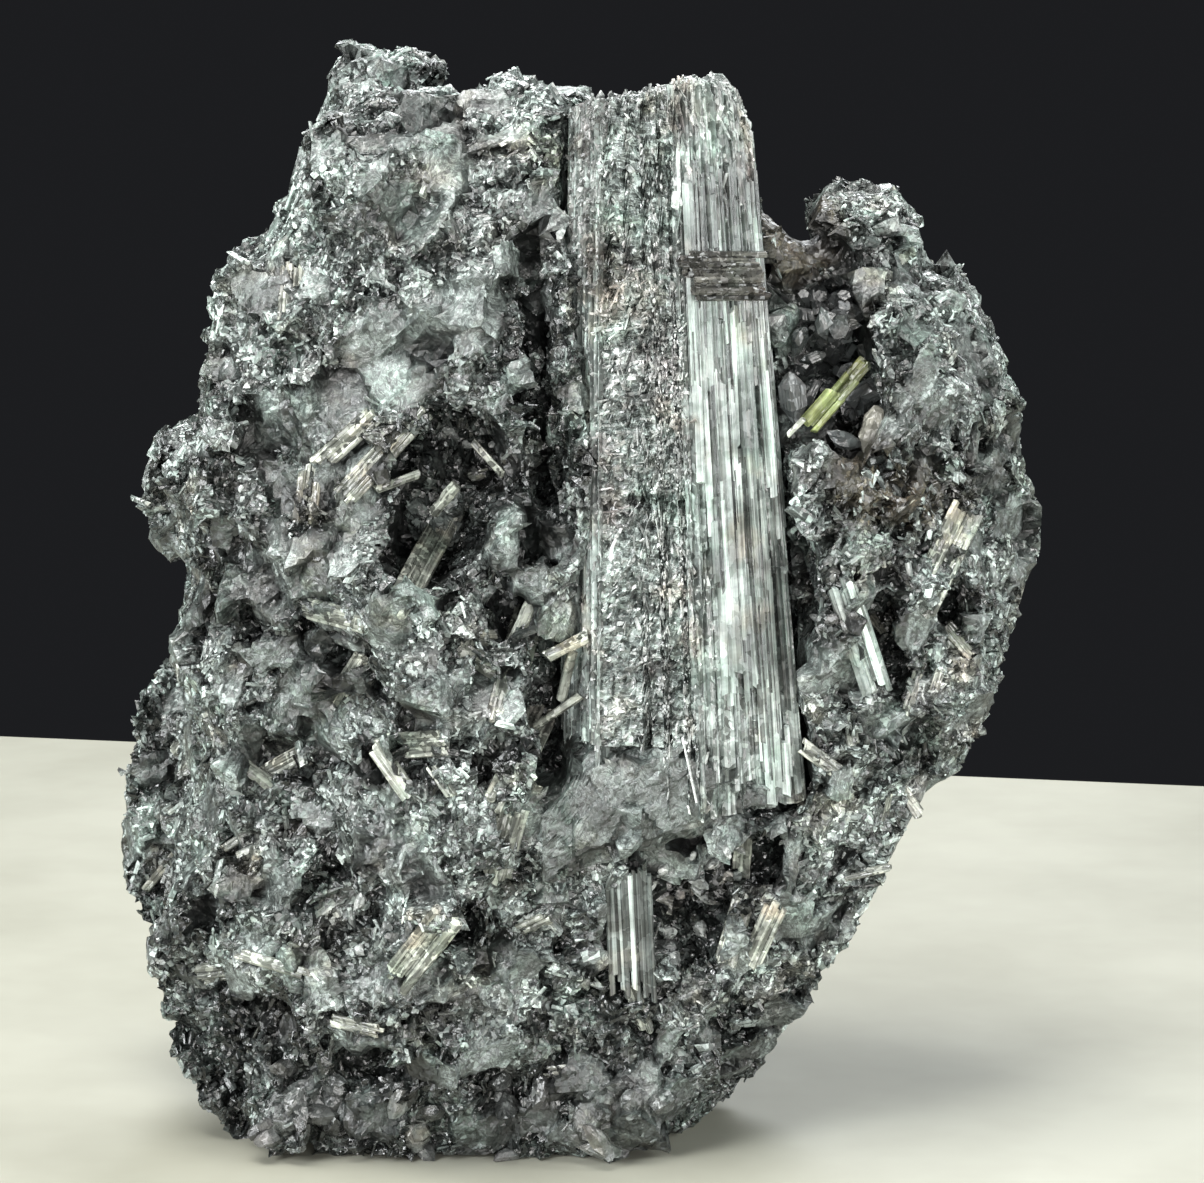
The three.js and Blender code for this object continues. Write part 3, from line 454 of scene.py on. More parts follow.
def laid(ways, normals, rise):
    """Ways laid along a surface, and then raised out of it a little."""
    along = unit(ways - normals * dots(ways, normals)[..., None])
    return unit(along + normals * rise)


def varied(random, median, share, size):
    """Sizes about a median, each some share off it."""
    return median * np.exp(random.normal(0, share, size))


def span(middles, along, lengths):
    """Both ends of what lies along a way, from its middle."""
    half = along * lengths / 2
    return middles - half, middles + half


def place_finder(places):
    tree = KDTree(len(places))
    for i, place in enumerate(places):
        tree.insert(place, i)
    tree.balance()
    return tree


def nearest(seeds, points):
    """For each point, the index of the seed next to it."""
    tree = place_finder(seeds)
    return np.array([tree.find(p)[1] for p in points])


def spread(points, spacing, seed):
    """Indices of points that lie about a spacing apart."""
    cells = np.floor(points / spacing + seeded(seed).random(3)).astype(int)
    order = seeded(seed + 1).permutation(len(points))
    _, first = np.unique(cells[order], axis=0, return_index=True)
    return order[first]


def points_of(mesh):
    """The vertices of a mesh, in millimetres."""
    flat = np.zeros(len(mesh.vertices) * 3, np.float32)
    mesh.vertices.foreach_get("co", flat)
    return flat.reshape(-1, 3).astype(float) / MM


def solid(name):
    """The points and triangles of a CAD node."""
    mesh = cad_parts[name].data
    mesh.calc_loop_triangles()
    return points_of(mesh), np.array([tuple(t.vertices) for t in mesh.loop_triangles])


def surface(points, faces):
    return BVHTree.FromPolygons([Vector(p) for p in points], faces.tolist())


@lru_cache
def solid_surface(name):
    return surface(*solid(name))


def from_prism(places):
    """How far each place is from the large prism."""
    prism = solid_surface("main_crystal")
    return np.array([prism.find_nearest(Vector(p))[3] for p in places])


def front_at(tree, x, z):
    """How far forward a surface is at a place of the front, or 0 where it has none."""
    hit = tree.ray_cast(Vector((x, -60, z)), Vector((0, 1, 0)))[0]
    return hit.y if hit else 0.0


def normals_of(points, squares):
    """Smooth vertex normals of a mesh of four-cornered faces."""
    corners = points[squares]
    across = np.cross(corners[:, 2] - corners[:, 0], corners[:, 3] - corners[:, 1])
    sums = np.zeros_like(points)
    for k in range(4):
        np.add.at(sums, squares[:, k], across)
    return unit(sums)


def in_triangles(squares):
    return np.concatenate([squares[:, [0, 1, 2]], squares[:, [0, 2, 3]]])


def even_squares(node, square):
    """The points and faces of a CAD node's surface, remeshed in even squares."""
    copy = bpy.data.objects.new("even", node.data.copy())
    bpy.context.scene.collection.objects.link(copy)
    remesh = copy.modifiers.new("even", "REMESH")
    remesh.mode = "VOXEL"
    remesh.voxel_size = square * MM
    graph = bpy.context.evaluated_depsgraph_get()
    mesh = bpy.data.meshes.new_from_object(copy.evaluated_get(graph))
    points = points_of(mesh)
    corners = np.zeros(len(mesh.loops), np.int32)
    mesh.loops.foreach_get("vertex_index", corners)
    bpy.data.objects.remove(copy)
    bpy.data.meshes.remove(mesh)
    return points, corners.reshape(-1, 4)


def broken_into_flats(points, normals, flats, strength=None):
    """Moves each point towards the flat face of its cell, so that the surface becomes a mosaic."""
    chosen = spread(points, flats.spacing, flats.seed)
    own = nearest(points[chosen], points)
    random = seeded(flats.seed + 50)
    facing = unit(strayed(random, normals[chosen], flats.tilt))
    sunk = -flats.offset * random.random(len(chosen))
    away = dots(points[chosen][own] - points, facing[own])
    slope = np.maximum(dots(normals, facing[own]), LEAST_SLOPE)
    limit = FLAT_REACH * flats.spacing
    strength = flats.strength if strength is None else strength
    shift = np.clip(strength * away / slope, -limit, limit) + sunk[own]
    return points + normals * shift[:, None]


def kept_in_box(points, box, rim=0.0):
    low = np.array(box[0]) / MM + rim
    high = np.array(box[1]) / MM - rim
    return np.clip(points, low, high)


def sampled(points, triangles, count, seed):
    """Evenly random places on a surface, with the face normals there and a vertex beside each."""
    a, b, c = (points[triangles[:, k]] for k in range(3))
    across = np.cross(b - a, c - a)
    area = np.linalg.norm(across, axis=1)
    random = seeded(seed)
    pick = random.choice(len(triangles), count, p=area / area.sum())
    u, v = random.random(count), random.random(count)
    over = u + v > 1
    u[over], v[over] = 1 - u[over], 1 - v[over]
    places = a[pick] + u[:, None] * (b - a)[pick] + v[:, None] * (c - a)[pick]
    return places, unit(across[pick]), triangles[pick, 0]


def crystals(starts, ends, widths, flatness, facing, shape, seed):
    """Closed prisms from starts to ends, flattened on the side that faces that way. Returns points,
    triangles, a shade for each point's crystal, and each point's place in its own crystal: x and y across
    it, z along it."""
    count = len(starts)
    sides, rings, taper, turned, even = shape
    random = seeded(seed)
    along = unit(ends - starts)
    lengths = np.linalg.norm(ends - starts, axis=1)
    side = unit(np.cross(along, facing))
    out = np.cross(side, along)
    turn = turned * random.random((count, 1)) * math.tau
    angles = np.arange(sides) / sides * math.tau
    uneven = CORNERS_UNEVEN * min(1, turned + UNTURNED) / sides
    angles = strayed(random, angles + turn, uneven)
    radius = 1 + SIDES_UNEVEN * random.normal(size=(count, sides)) / even
    half = widths[:, None] / 2
    x = np.cos(angles) * radius * half
    y = np.sin(angles) * radius * half * np.broadcast_to(flatness, count)[:, None]
    cut = random.normal(size=(2, count, 2)) * END_SLANT
    places = []
    for share in np.arange(rings) / (rings - 1):
        slant = cut[0 if share < 0.5 else 1]
        lean = abs(share - 0.5) * 2
        slope = (slant[:, :1] * x + slant[:, 1:] * y) * lean
        step = taper if lean == 1 else 1 + RINGS_UNEVEN * random.normal(size=(count, 1))
        places.append(np.stack([x * step, y * step, share * lengths[:, None] + slope], axis=-1))
    local = np.stack(places, axis=1).reshape(count, rings * sides, 3)
    ways = zip(range(3), (side, out, along))
    points = sum((local[..., k:k + 1] * way[:, None] for k, way in ways), starts[:, None])
    template = []
    for low in range(0, (rings - 1) * sides, sides):
        for k in range(sides):
            here, after = low + k, low + (k + 1) % sides
            template += [(here, after, after + sides), (here, after + sides, here + sides)]
    top = (rings - 1) * sides
    for k in range(1, sides - 1):
        template += [(0, k + 1, k), (top, top + k, top + k + 1)]
    first = np.arange(count)[:, None, None] * rings * sides
    triangles = (np.array(template)[None] + first).reshape(-1, 3)
    shade = np.repeat(random.random(count), rings * sides)
    local = local + random.random((count, 1, 3)) * GROWN_APART
    return points.reshape(-1, 3), triangles, shade, local.reshape(-1, 3)


def make_piece(name, points, faces, finish, slot, stands_for=(), local=None, **shares):
    """A mesh that rides on the part's one body. Each of shares is a number for every point."""
    mesh = bpy.data.meshes.new(name)
    mesh.from_pydata(points * MM, [], faces)
    shares.setdefault("sky", np.ones(len(points)))
    for title, values in shares.items():
        mesh.attributes.new(title, "FLOAT", "POINT").data.foreach_set("value", values)
    if local is not None:
        grown = mesh.attributes.new("grown", "FLOAT_VECTOR", "POINT")
        grown.data.foreach_set("vector", local.astype(np.float32).ravel())
    mesh.materials.append(finishes[finish])
    mesh.update()
    made = bpy.data.objects.new(name, mesh)
    bpy.context.scene.collection.objects.link(made)
    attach(made, "root")
    if stands_for:
        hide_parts(*stands_for)


def crystal_piece(name, made, finish, slot, sky=1.0, stands_for=(), rim=0.01):
    """A piece of crystals, kept inside the solids' box. sky is one number, or one for each crystal."""
    points, triangles, shade, local = made
    sky = np.repeat(sky, len(points) // np.size(sky)).astype(float)
    points = kept_in_box(points, solid_box, rim)
    make_piece(name, points, triangles, finish, slot, stands_for, local, shade=shade, sky=sky)


class Wiring:
    """Adds nodes to a material or a node group and links them."""

    def __init__(self, tree):
        self.tree = tree

    def add(self, kind, inputs=(), **settings):
        node = self.tree.nodes.new("ShaderNode" + kind)
        for name, value in settings.items():
            setattr(node, name, value)
        self.feed_all(node.inputs, inputs)
        return node

    def feed(self, socket, value):
        if isinstance(value, bpy.types.NodeSocket):
            self.tree.links.new(value, socket)
        else:
            socket.default_value = value

    def feed_all(self, sockets, values):
        for name, value in dict(values).items():
            self.feed(sockets[name], value)

    def math(self, operation, *values):
        return self.add("Math", enumerate(values), operation=operation).outputs[0]

    def product(self, *values):
        return reduce(lambda first, second: self.math("MULTIPLY", first, second), values)

    def sum(self, *values):
        return reduce(lambda first, second: self.math("ADD", first, second), values)

    def vector(self, operation, *values):
        return self.add("VectorMath", enumerate(values), operation=operation).outputs["Vector"]

    def scaled(self, vector, share):
        node = self.add("VectorMath", {"Vector": vector, "Scale": share}, operation="SCALE")
        return node.outputs["Vector"]

    def ramp(self, value, low, high, first=0.0, last=1.0):
        inputs = {"Value": value, "From Min": low, "From Max": high, "To Min": first, "To Max": last}
        return self.add("MapRange", inputs).outputs["Result"]

    def mixed(self, share, first, second, blend="MIX"):
        node = self.add("Mix", {0: share}, data_type="RGBA", blend_type=blend)
        self.feed_all(node.inputs, {6: first, 7: second})
        return node.outputs[2]

    def noise(self, vector, scale, detail=2.0, roughness=0.5):
        inputs = {"Vector": vector, "Scale": scale, "Detail": detail, "Roughness": roughness}
        return self.add("TexNoise", inputs).outputs["Fac"]

    def warped(self, place, scale, share):
        """The place, shifted by a soft noise."""
        noise = self.add("TexNoise", {"Vector": place, "Scale": scale, "Detail": 2.0})
        shift = self.vector("SUBTRACT", noise.outputs["Color"], (0.5, 0.5, 0.5))
        return self.vector("ADD", place, self.scaled(shift, share))

    def part(self, colour, letter):
        return self.add("SeparateXYZ", {"Vector": colour}).outputs[letter]

    def inverse(self, value):
        return self.math("DIVIDE", 1.0, value)

    def place(self):
        """The place on the specimen, in millimetres."""
        return self.scaled(self.add("TexCoord").outputs["Object"], 1 / MM)

    def share_of(self, name):
        """A number that the mesh holds for every point."""
        return self.add("Attribute", attribute_name=name).outputs["Fac"]

    def bump(self, height, strength, distance, normal):
        inputs = {"Height": height, "Strength": strength, "Distance": distance * MM, "Normal": normal}
        return self.add("Bump", inputs).outputs["Normal"]

    def group(self, name, inputs):
        return self.add("Group", inputs.items(), node_tree=GROUPS[name]).outputs


def node_group(name, inputs, outputs):
    """An empty shader node group: its wiring, its inputs by name, and its output node."""
    group = bpy.data.node_groups.new(name, "ShaderNodeTree")
    for title, value in inputs.items():
        kind = "NodeSocketFloat" if isinstance(value, float) else "NodeSocketVector"
        socket = group.interface.new_socket(title, in_out="INPUT", socket_type=kind)
        if value is not None:
            socket.default_value = value
    for title in outputs:
        kind = "NodeSocketVector" if title == "Normal" else "NodeSocketFloat"
        group.interface.new_socket(title, in_out="OUTPUT", socket_type=kind)
    source = group.nodes.new("NodeGroupInput").outputs
    result = group.nodes.new("NodeGroupOutput").inputs
    return group, Wiring(group), source, result


def make_broken_faces():
    """Tiny flat faces, each tilted its own way and with its own shade."""
    inputs = {"Place": None, "Normal": None, "Size": 0.4, "Tilt": 0.6}
    outputs = ("Normal", "Shade", "Other shade", "Joint")
    group, w, source, result = node_group("broken faces", inputs, outputs)
    where = {"Vector": w.warped(source["Place"], 1.7, 0.9), "Scale": w.inverse(source["Size"])}
    colour = w.add("TexVoronoi", where).outputs["Color"]
    tilt = w.scaled(w.vector("SUBTRACT", colour, (0.5, 0.5, 0.5)), source["Tilt"])
    w.feed_all(result, {
        "Normal": w.vector("NORMALIZE", w.vector("ADD", source["Normal"], tilt)),
        "Shade": w.part(colour, "X"),
        "Other shade": w.part(colour, "Z"),
        "Joint": w.add("TexVoronoi", where, feature="DISTANCE_TO_EDGE").outputs["Distance"],
    })
    return group


def make_swirls():
    """Fine curved lines, like the rims of scales, and the shade between them."""
    inputs = {"Place": None, "Size": 0.4, "Stretch": (0.5, 1, 1), "Bend": 2.0}
    group, w, source, result = node_group("swirls", inputs, ("Line", "Shade", "Height"))
    place = w.vector("MULTIPLY", w.warped(source["Place"], 0.5, source["Bend"]), source["Stretch"])
    height = w.noise(place, w.inverse(source["Size"]), 3.0, 0.62)
    away = w.math("ABSOLUTE", w.math("SUBTRACT", height, 0.5))
    line = w.ramp(away, 0.0, 0.035, 1.0, 0.0)
    w.feed_all(result, {"Line": line, "Shade": w.ramp(height, 0.36, 0.64), "Height": height})
    return group


def make_striations():
    """Fine lines along a crystal, from its own coordinates: x and y across it and z along it."""
    inputs = {"Place": None, "Spacing": 0.2, "Run": 6.0}
    group, w, source, result = node_group("striations", inputs, ("Height", "Shade"))
    across = w.add("CombineXYZ", {"X": 1.0, "Y": 1.0, "Z": w.inverse(source["Run"])}).outputs[0]
    place = w.vector("MULTIPLY", source["Place"], across)
    scale = w.inverse(source["Spacing"])
    lines = w.add("TexVoronoi", {"Vector": place, "Scale": scale}).outputs
    fine = w.noise(place, w.product(scale, 1.6), 3.0, 0.6)
    height = w.sum(w.product(lines["Distance"], -0.6), fine)
    w.feed_all(result, {"Height": height, "Shade": w.part(lines["Color"], "X")})
    return group


def make_tints_and_sheens():
    """Soft masks: where the black is warmer, its own brown tone, and where it is pinker or greener, a
    painted sheen.
    """
    inputs = {"Place": None, "Size": 4.0}
    group, w, source, result = node_group("tints_and_sheens", inputs, [tint[0] for tint in TINTS_AND_SHEENS])
    scale = w.inverse(source["Size"])
    for title, shift, low, _ in TINTS_AND_SHEENS:
        place = w.vector("ADD", source["Place"], (shift, shift, shift))
        w.feed(result[title], w.ramp(w.noise(place, scale, 3.0, 0.6), low, low + 0.16))
    return group


GROUPS = {
    "faces": make_broken_faces(),
    "striations": make_striations(),
    "swirls": make_swirls(),
    "tints_and_sheens": make_tints_and_sheens(),
}


def new_material(name, ior=SCHORL_IOR):
    material = bpy.data.materials.new(name)
    material.use_nodes = True
    shader = material.node_tree.nodes["Principled BSDF"]
    shader.inputs["IOR"].default_value = ior
    return Wiring(material.node_tree), shader.inputs, material


def coloured(w, place, value, tint):
    """A grey of that brightness and tint, darker where the place sees little of the sky, with the brown of
    its own tone and the pink and green of a painted sheen in it."""
    value = w.product(value, w.ramp(w.share_of("sky"), *SKY_SEEN, *SKY_LEFT))
    channels = zip(("Red", "Green", "Blue"), tint)
    grey = {title: w.product(value, share) for title, share in channels}
    colour = w.add("CombineColor", grey).outputs["Color"]
    masks = w.group("tints_and_sheens", {"Place": place, "Size": TINT_AND_SHEEN_SIZE})
    # Brown is the schorl's own tone; pink and green are a painted sheen.
    for title, _, _, hue in TINTS_AND_SHEENS:
        colour = w.mixed(w.product(masks[title], TINT_AND_SHEEN_STRENGTH), colour, hue, "MULTIPLY")
    return colour


def patches(w, place, low, high):
    """A factor that drifts between low and high over the specimen."""
    return w.ramp(w.noise(place, 1 / PATCH_SIZE, 2.0, 0.6), *PATCH_NOISE, low, high)


def make_felt():
    """The mass itself: a felt of grains too small to model, smoother where it is calm."""
    w, sockets, material = new_material("grainy_schorl")
    place = w.place()
    calm = w.share_of("calm")

    def eased(plain, smooth):
        return w.ramp(calm, 0.5, 1, plain, smooth)

    normal = w.add("NewGeometry").outputs["Normal"]
    faces = {"Place": place, "Normal": normal, "Size": 0.62, "Tilt": eased(0.6, 0.14)}
    coarse = w.group("faces", faces)
    faces = {"Place": place, "Normal": coarse["Normal"], "Size": 0.27, "Tilt": eased(1.0, 0.4)}
    fine = w.group("faces", faces)
    swirls = w.group("swirls", {"Place": place, "Size": 0.36, "Stretch": (1, 1, 0.4), "Bend": 5.0})
    # The pale small faces are partly the grains' own paler tone and partly painted glints, a sparkle kept in
    # the colour.
    value = w.sum(
        w.product(w.math("POWER", fine["Shade"], 5.0), eased(0.55, 0.12)),
        w.product(w.math("POWER", coarse["Shade"], 3.0), 0.07),
        w.product(swirls["Line"], eased(0.14, 0.17)),
        eased(0.025, 0.07),
    )
    value = w.product(
        value,
        w.ramp(swirls["Shade"], 0, 1, 0.55, 1.35),
        w.ramp(fine["Joint"], 0.0, 0.1, eased(0.25, 0.6), 1.0),
        patches(w, place, 0.42, 1.75),
    )
    colour = coloured(w, place, value, FELT_TINT)
    w.feed_all(sockets, {
        "Base Color": w.mixed(w.share_of("brown"), colour, BROWN_HUE, "MULTIPLY"),
        "Roughness": w.ramp(fine["Other shade"], 0.0, 1.0, eased(0.14, 0.3), eased(0.4, 0.6)),
        "Normal": w.bump(swirls["Height"], 0.6, 0.12, fine["Normal"]),
    })
    return material


def crystal_finish(name, base, crystal, face, line, spacing, size, tilt, tint=NEUTRAL, run=16.0):
    """Striated crystals, granular where the mesh is calm. FINISHES says what each value is."""
    w, sockets, material = new_material(name)
    place = w.place()
    own = w.add("Attribute", attribute_name="grown").outputs["Vector"]
    calm = w.share_of("calm")

    def eased(plain, grainy):
        return w.ramp(calm, 0, 1, plain, grainy)

    lines = w.group("striations", {"Place": own, "Spacing": spacing, "Run": run})
    scales = w.group("swirls", {"Place": place, "Size": 0.26, "Stretch": (0.3, 0.3, 1), "Bend": 0.8})
    normal = w.add("NewGeometry").outputs["Normal"]
    faces = w.group("faces", {"Place": place, "Normal": normal, "Size": size, "Tilt": eased(tilt, 1.0)})
    pale_crystal = w.math("POWER", w.share_of("shade"), 3.0)
    # A pale flake of the surface is partly the crystal's own paler tone and partly a painted glint.
    value = w.sum(
        w.product(pale_crystal, w.ramp(lines["Shade"], 0, 1, 0.55, 1.15), crystal),
        w.product(w.math("POWER", faces["Shade"], 4.0), eased(face, 0.4)),
        w.product(w.math("POWER", lines["Shade"], 3.0), eased(line, 0.0)),
        base,
        w.product(scales["Line"], eased(0.0, 0.3)),
    )
    value = w.product(value, w.ramp(scales["Shade"], 0, 1, eased(1, 0.5), 1.2), patches(w, place, 0.5, 1.65))
    w.feed_all(sockets, {
        "Base Color": coloured(w, place, value, tint),
        "Roughness": w.ramp(faces["Other shade"], 0.0, 1.0, 0.12, 0.36),
        "Normal": w.bump(lines["Height"], eased(0.7, 0.1), 0.3 * spacing, faces["Normal"]),
    })
    return material


finishes = {"grainy_schorl": make_felt()}
for finish_name, finish_values in FINISHES.items():
    finishes[finish_name] = crystal_finish(finish_name, *finish_values)


def openness(points, normals, tree):
    """How much of the sky each place sees within a few millimetres, 0 to 1."""
    ways = unit(seeded(77).normal(size=(SKY_WAYS, 3)))
    share = np.zeros(len(points))
    for i, (point, normal) in enumerate(zip(points, normals)):
        start = Vector(point + SKY_LIFT * normal)
        seen = [way if way @ normal > 0 else -way for way in ways]
        free = sum(tree.ray_cast(start, Vector(way), SKY_REACH)[0] is None for way in seen)
        share[i] = free / SKY_WAYS
    return share


def plates_and_cracks(points):
    """How smooth each point's large flat is, and how deep the open cracks between the flats are."""
    chosen = spread(points, FLATS[0].spacing, FLATS[0].seed)
    smooth = seeded(9).random(len(chosen)) < PLATE_SHARE
    open_borders = seeded(10).random(BORDER_KINDS) < CREVICE_SHARE
    tree = place_finder(points[chosen])
    plates, cracks = np.zeros((2, len(points)))
    for i, point in enumerate(points):
        (_, one, near), (_, other, far) = tree.find_n(point, 2)
        plates[i] = PLATE_CALM * smooth[one]
        if open_borders[(one * other + one + other) % BORDER_KINDS]:
            cracks[i] = CREVICE_DEPTH * max(0.0, 1 - (far - near) / CREVICE_WIDTH)
    return plates, cracks


def front_share(points, places):
    """The most of each place of the front (x, z, radius, most) in its middle, and 0 outside them all."""
    share = np.zeros(len(points))
    for x, z, radius, most in places:
        away = np.hypot(points[:, 0] - MIDDLE_LINE[0] - x, points[:, 2] - z)
        share = np.maximum(share, most * np.clip(PLACE_WHOLE - PLACE_FADE * away / radius, 0, 1))
    return np.where(points[:, 1] < 0, share, 0.0)


def make_mass():
    """The mass, from its solid: even squares, broken into flat faces with cracks between them."""
    unbroken, squares = even_squares(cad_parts["schorl_mass"], SQUARE)
    points = unbroken
    smooth_places = front_share(points, CALM)
    plates, cracks = plates_and_cracks(points)
    calm = np.maximum(smooth_places, plates)
    cracks = cracks * (1 - smooth_places)
    normals = smooth = normals_of(points, squares)
    rim = RIM_SMOOTH * np.clip(1 - np.abs(smooth[:, 1]) / RIM_BAND, 0, 1)
    for flats in FLATS:
        strength = flats.strength * (1 + (flats.calm - 1) * calm)
        points = broken_into_flats(points, normals, flats, strength)
        normals = normals_of(points, squares)
    points = points - normals * cracks[:, None]
    points = kept_in_box(points + (unbroken - points) * rim[:, None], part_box("schorl_mass"))
    normals = normals_of(points, squares)
    some = spread(points, SKY_SPACING, 5)
    tree = surface(points, squares)
    sky = openness(points[some], normals[some], tree)[nearest(points[some], points)]
    sky *= 1 - np.minimum(CRACK_SHADE[0] * cracks, CRACK_SHADE[1])
    sky *= 1 - DEEP_SHADE * front_share(points, DEEP)
    sky *= np.interp(points[:, 2], BASE_HEIGHTS, BASE_LIGHT)
    make_piece(
        "mass", points, squares, "grainy_schorl", "grainy_schorl", ("schorl_mass",),
        sky=sky, calm=calm, brown=front_share(points, BROWN),
    )
    return {
        "points": points, "triangles": in_triangles(squares), "tree": tree, "sky": sky, "calm": calm,
        "smooth": smooth,
    }


def make_felt_crystals(mass, felt):
    """Needles, blades and grains over the whole mass, in bundles that lie the same way."""
    random = seeded(felt.seed)
    places, normals, vertex = sampled(mass["points"], mass["triangles"], felt.count * TRIES, felt.seed + 1)
    merged = (places[:, 2] > MERGED[0]) & (places[:, 0] < MERGED[1])
    keep = (from_prism(places) > FELT_CLEARANCE) | merged
    keep &= (random.random(len(places)) > mass["calm"][vertex]) & (places[:, 2] > FELT_LOWEST)
    places, normals, vertex = (values[keep][:felt.count] for values in (places, normals, vertex))
    normals = unit(normals + FELT_SMOOTH * mass["smooth"][vertex])
    count = len(places)
    bundles = mass["points"][spread(mass["points"], felt.spacing, felt.seed + 2)]
    own = nearest(bundles, strayed(random, places, FELT_MIXED))
    lie = unit(random.normal(size=(len(bundles), 3)))[own]
    ways = unit(strayed(random, lie, FELT_STRAY))
    along = laid(ways, normals, felt.lift * random.normal(size=(count, 1)))
    lengths = varied(random, felt.length, FELT_VARIES[0], count)
    widths = np.clip(varied(random, felt.width, FELT_VARIES[1], count), *FELT_WIDTHS)
    lengths = np.clip(lengths, widths * FELT_STOUTEST, FELT_LONGEST)
    flatness = random.uniform(*FELT_FLATNESS, count)
    sunk = (widths * flatness)[:, None] * random.uniform(*FELT_SUNK, (count, 1))
    ends = span(places - normals * sunk, along, lengths[:, None])
    facing = unit(strayed(random, normals, FACING_STRAY))
    made = crystals(*ends, widths, flatness, facing, NEEDLE, felt.seed + 3)
    crystal_piece(felt.name, made, "needle_schorl", "grainy_schorl", mass["sky"][vertex])


def prism_place(x, y, z):
    """Where a place of the section at REFERENCE_Z comes at height z."""
    wide = 1 + WIDEN_PER_MM * (REFERENCE_Z - z)
    lean = LEAN_PER_MM * (z - REFERENCE_Z)
    across = LEFT_FRONT[0] + (x - LEFT_FRONT[0]) * wide
    deep = LEFT_FRONT[1] + (y - LEFT_FRONT[1]) * wide + lean
    return np.stack([across, deep, z + 0 * across], axis=-1) + MIDDLE_LINE


def face_line(number):
    """A prism face in the section: its first corner, length, way along and way out."""
    start, end = (np.array(PRISM_FACES[k % len(PRISM_FACES)].corner) for k in (number, number + 1))
    length = np.linalg.norm(end - start)
    way = (end - start) / length
    return start, length, way, np.array((way[1], -way[0]))


def top_at(tree, x, y, high):
    """How high the prism is at a place, with its corner broken off, or None beside it."""
    hit = tree.ray_cast(Vector((x, y, high + 5)), Vector((0, 0, -1)))[0]
    return hit and min(hit.z, np.interp(x - MIDDLE_LINE[0], PEAK_X, PEAK_Z))


def prism_columns(random):
    """The lines that run up the prism: place in the section, outward way, face, rib, place across the
    rib from -1 to 1, or IN_GROOVE beside it, and place along the face."""
    columns = []
    rib = 0
    for number, face in enumerate(PRISM_FACES):
        start, length, way, out = face_line(number)
        edge = 0.0
        while edge < length - THINNEST_RIB:
            width = random.uniform(*face.ribs)
            if length - edge - width < face.ribs[0]:
                width = length - edge
            groove = min(GROOVE_WIDTH, width * GROOVE_SHARE)
            steps = max(3, round(width / COLUMN_SPACING))
            columns.append((*(start + way * edge), *out, number, rib, IN_GROOVE, edge))
            for across in np.linspace(-1, 1, steps):
                at = edge + groove + (width - groove) * (across + 1) / 2 * RIB_SPAN
                columns.append((*(start + way * at), *out, number, rib, across, at))
            edge += width
            rib += 1
    return np.array(columns), rib


def prism_ends(x, y, out, low, high):
    """The bottom and the top of each column, from the solid."""
    tree = solid_surface("main_crystal")
    ends = []
    for inside in zip(x - RAY_INSET * out[:, 0], y - RAY_INSET * out[:, 1]):
        top, bottom = prism_place(*inside, high), prism_place(*inside, low)
        foot = tree.ray_cast(Vector((bottom[0], bottom[1], low - 5)), Vector((0, 0, 1)))[0]
        buried = FRONT_FOOT if foot and foot.z > low + 2 else 0
        peak = min(high, np.interp(top[0] - MIDDLE_LINE[0], PEAK_X, PEAK_Z))
        ends.append((foot.z - buried if foot else low, top_at(tree, top[0], top[1], high) or peak))
    return np.array(ends).T


def rib_relief(random, spec, number, z, across, low, high):
    """How deep each place of one rib lies, and its shade. The rib breaks at levels of its own."""
    breaks = np.sort(random.uniform(low, high, spec.breaks))
    parts = len(breaks) + 1
    levels = spec.back * random.random(parts) ** RIB_UNEVEN
    tilts = random.normal(size=parts)
    bright = random.random(parts) < 0.5
    tones = np.where(bright, random.uniform(*PALE_RIBS, parts), DARK_RIBS * random.random())
    part = np.searchsorted(breaks, z)
    groove = across == IN_GROOVE
    on_rib = np.where(groove, 0, across)
    deep = spec.groove * random.uniform(0.5, 1.5)
    form = RIB_TILT * tilts[part] * on_rib + RIB_CROWN * on_rib**2
    depth = levels[part] + form + np.where(groove, deep, 0)
    dulled = np.interp(z, PALE_HEIGHTS, PALE_SHARES)
    shade = np.where(groove, 0.0, spec.pale * tones[part] * dulled)
    if number == FRONT_FACE:
        shade = np.full_like(shade, FRONT_SHADE)
    if number in (RIGHT_FACE, BACK_RIGHT_FACE):
        foot = low + RIB_FOOT[0] * random.random() ** 2
        head = z[-1].mean() - RIB_HEAD[0] * random.random() ** 2
        depth = depth + np.where(z < foot, RIB_FOOT[1], 0.0) + np.where(z > head, RIB_HEAD[1], 0.0)
    return depth, shade


def prism_hollows(face, run, z):
    """How far ledges, the front's setback and the lost corner lie behind the ribs."""
    front = face == FRONT_FACE
    hollow = np.where(front, FRONT_SETBACK, 0) + 0 * z
    for height, down, deep in LEDGES:
        below = height + LEDGE_WAVE * np.sin(run * LEDGE_WAVES_PER_MM + height) - z
        hollow += np.where(front & (below > 0), deep * np.exp(-np.abs(below) / down), 0)
    missing = (face == RIGHT_FACE) & (run > NOTCH_FROM)
    low, high = NOTCH_HEIGHTS
    return hollow + np.where(missing & (z > low) & (z < high), NOTCH_DEPTH, 0)


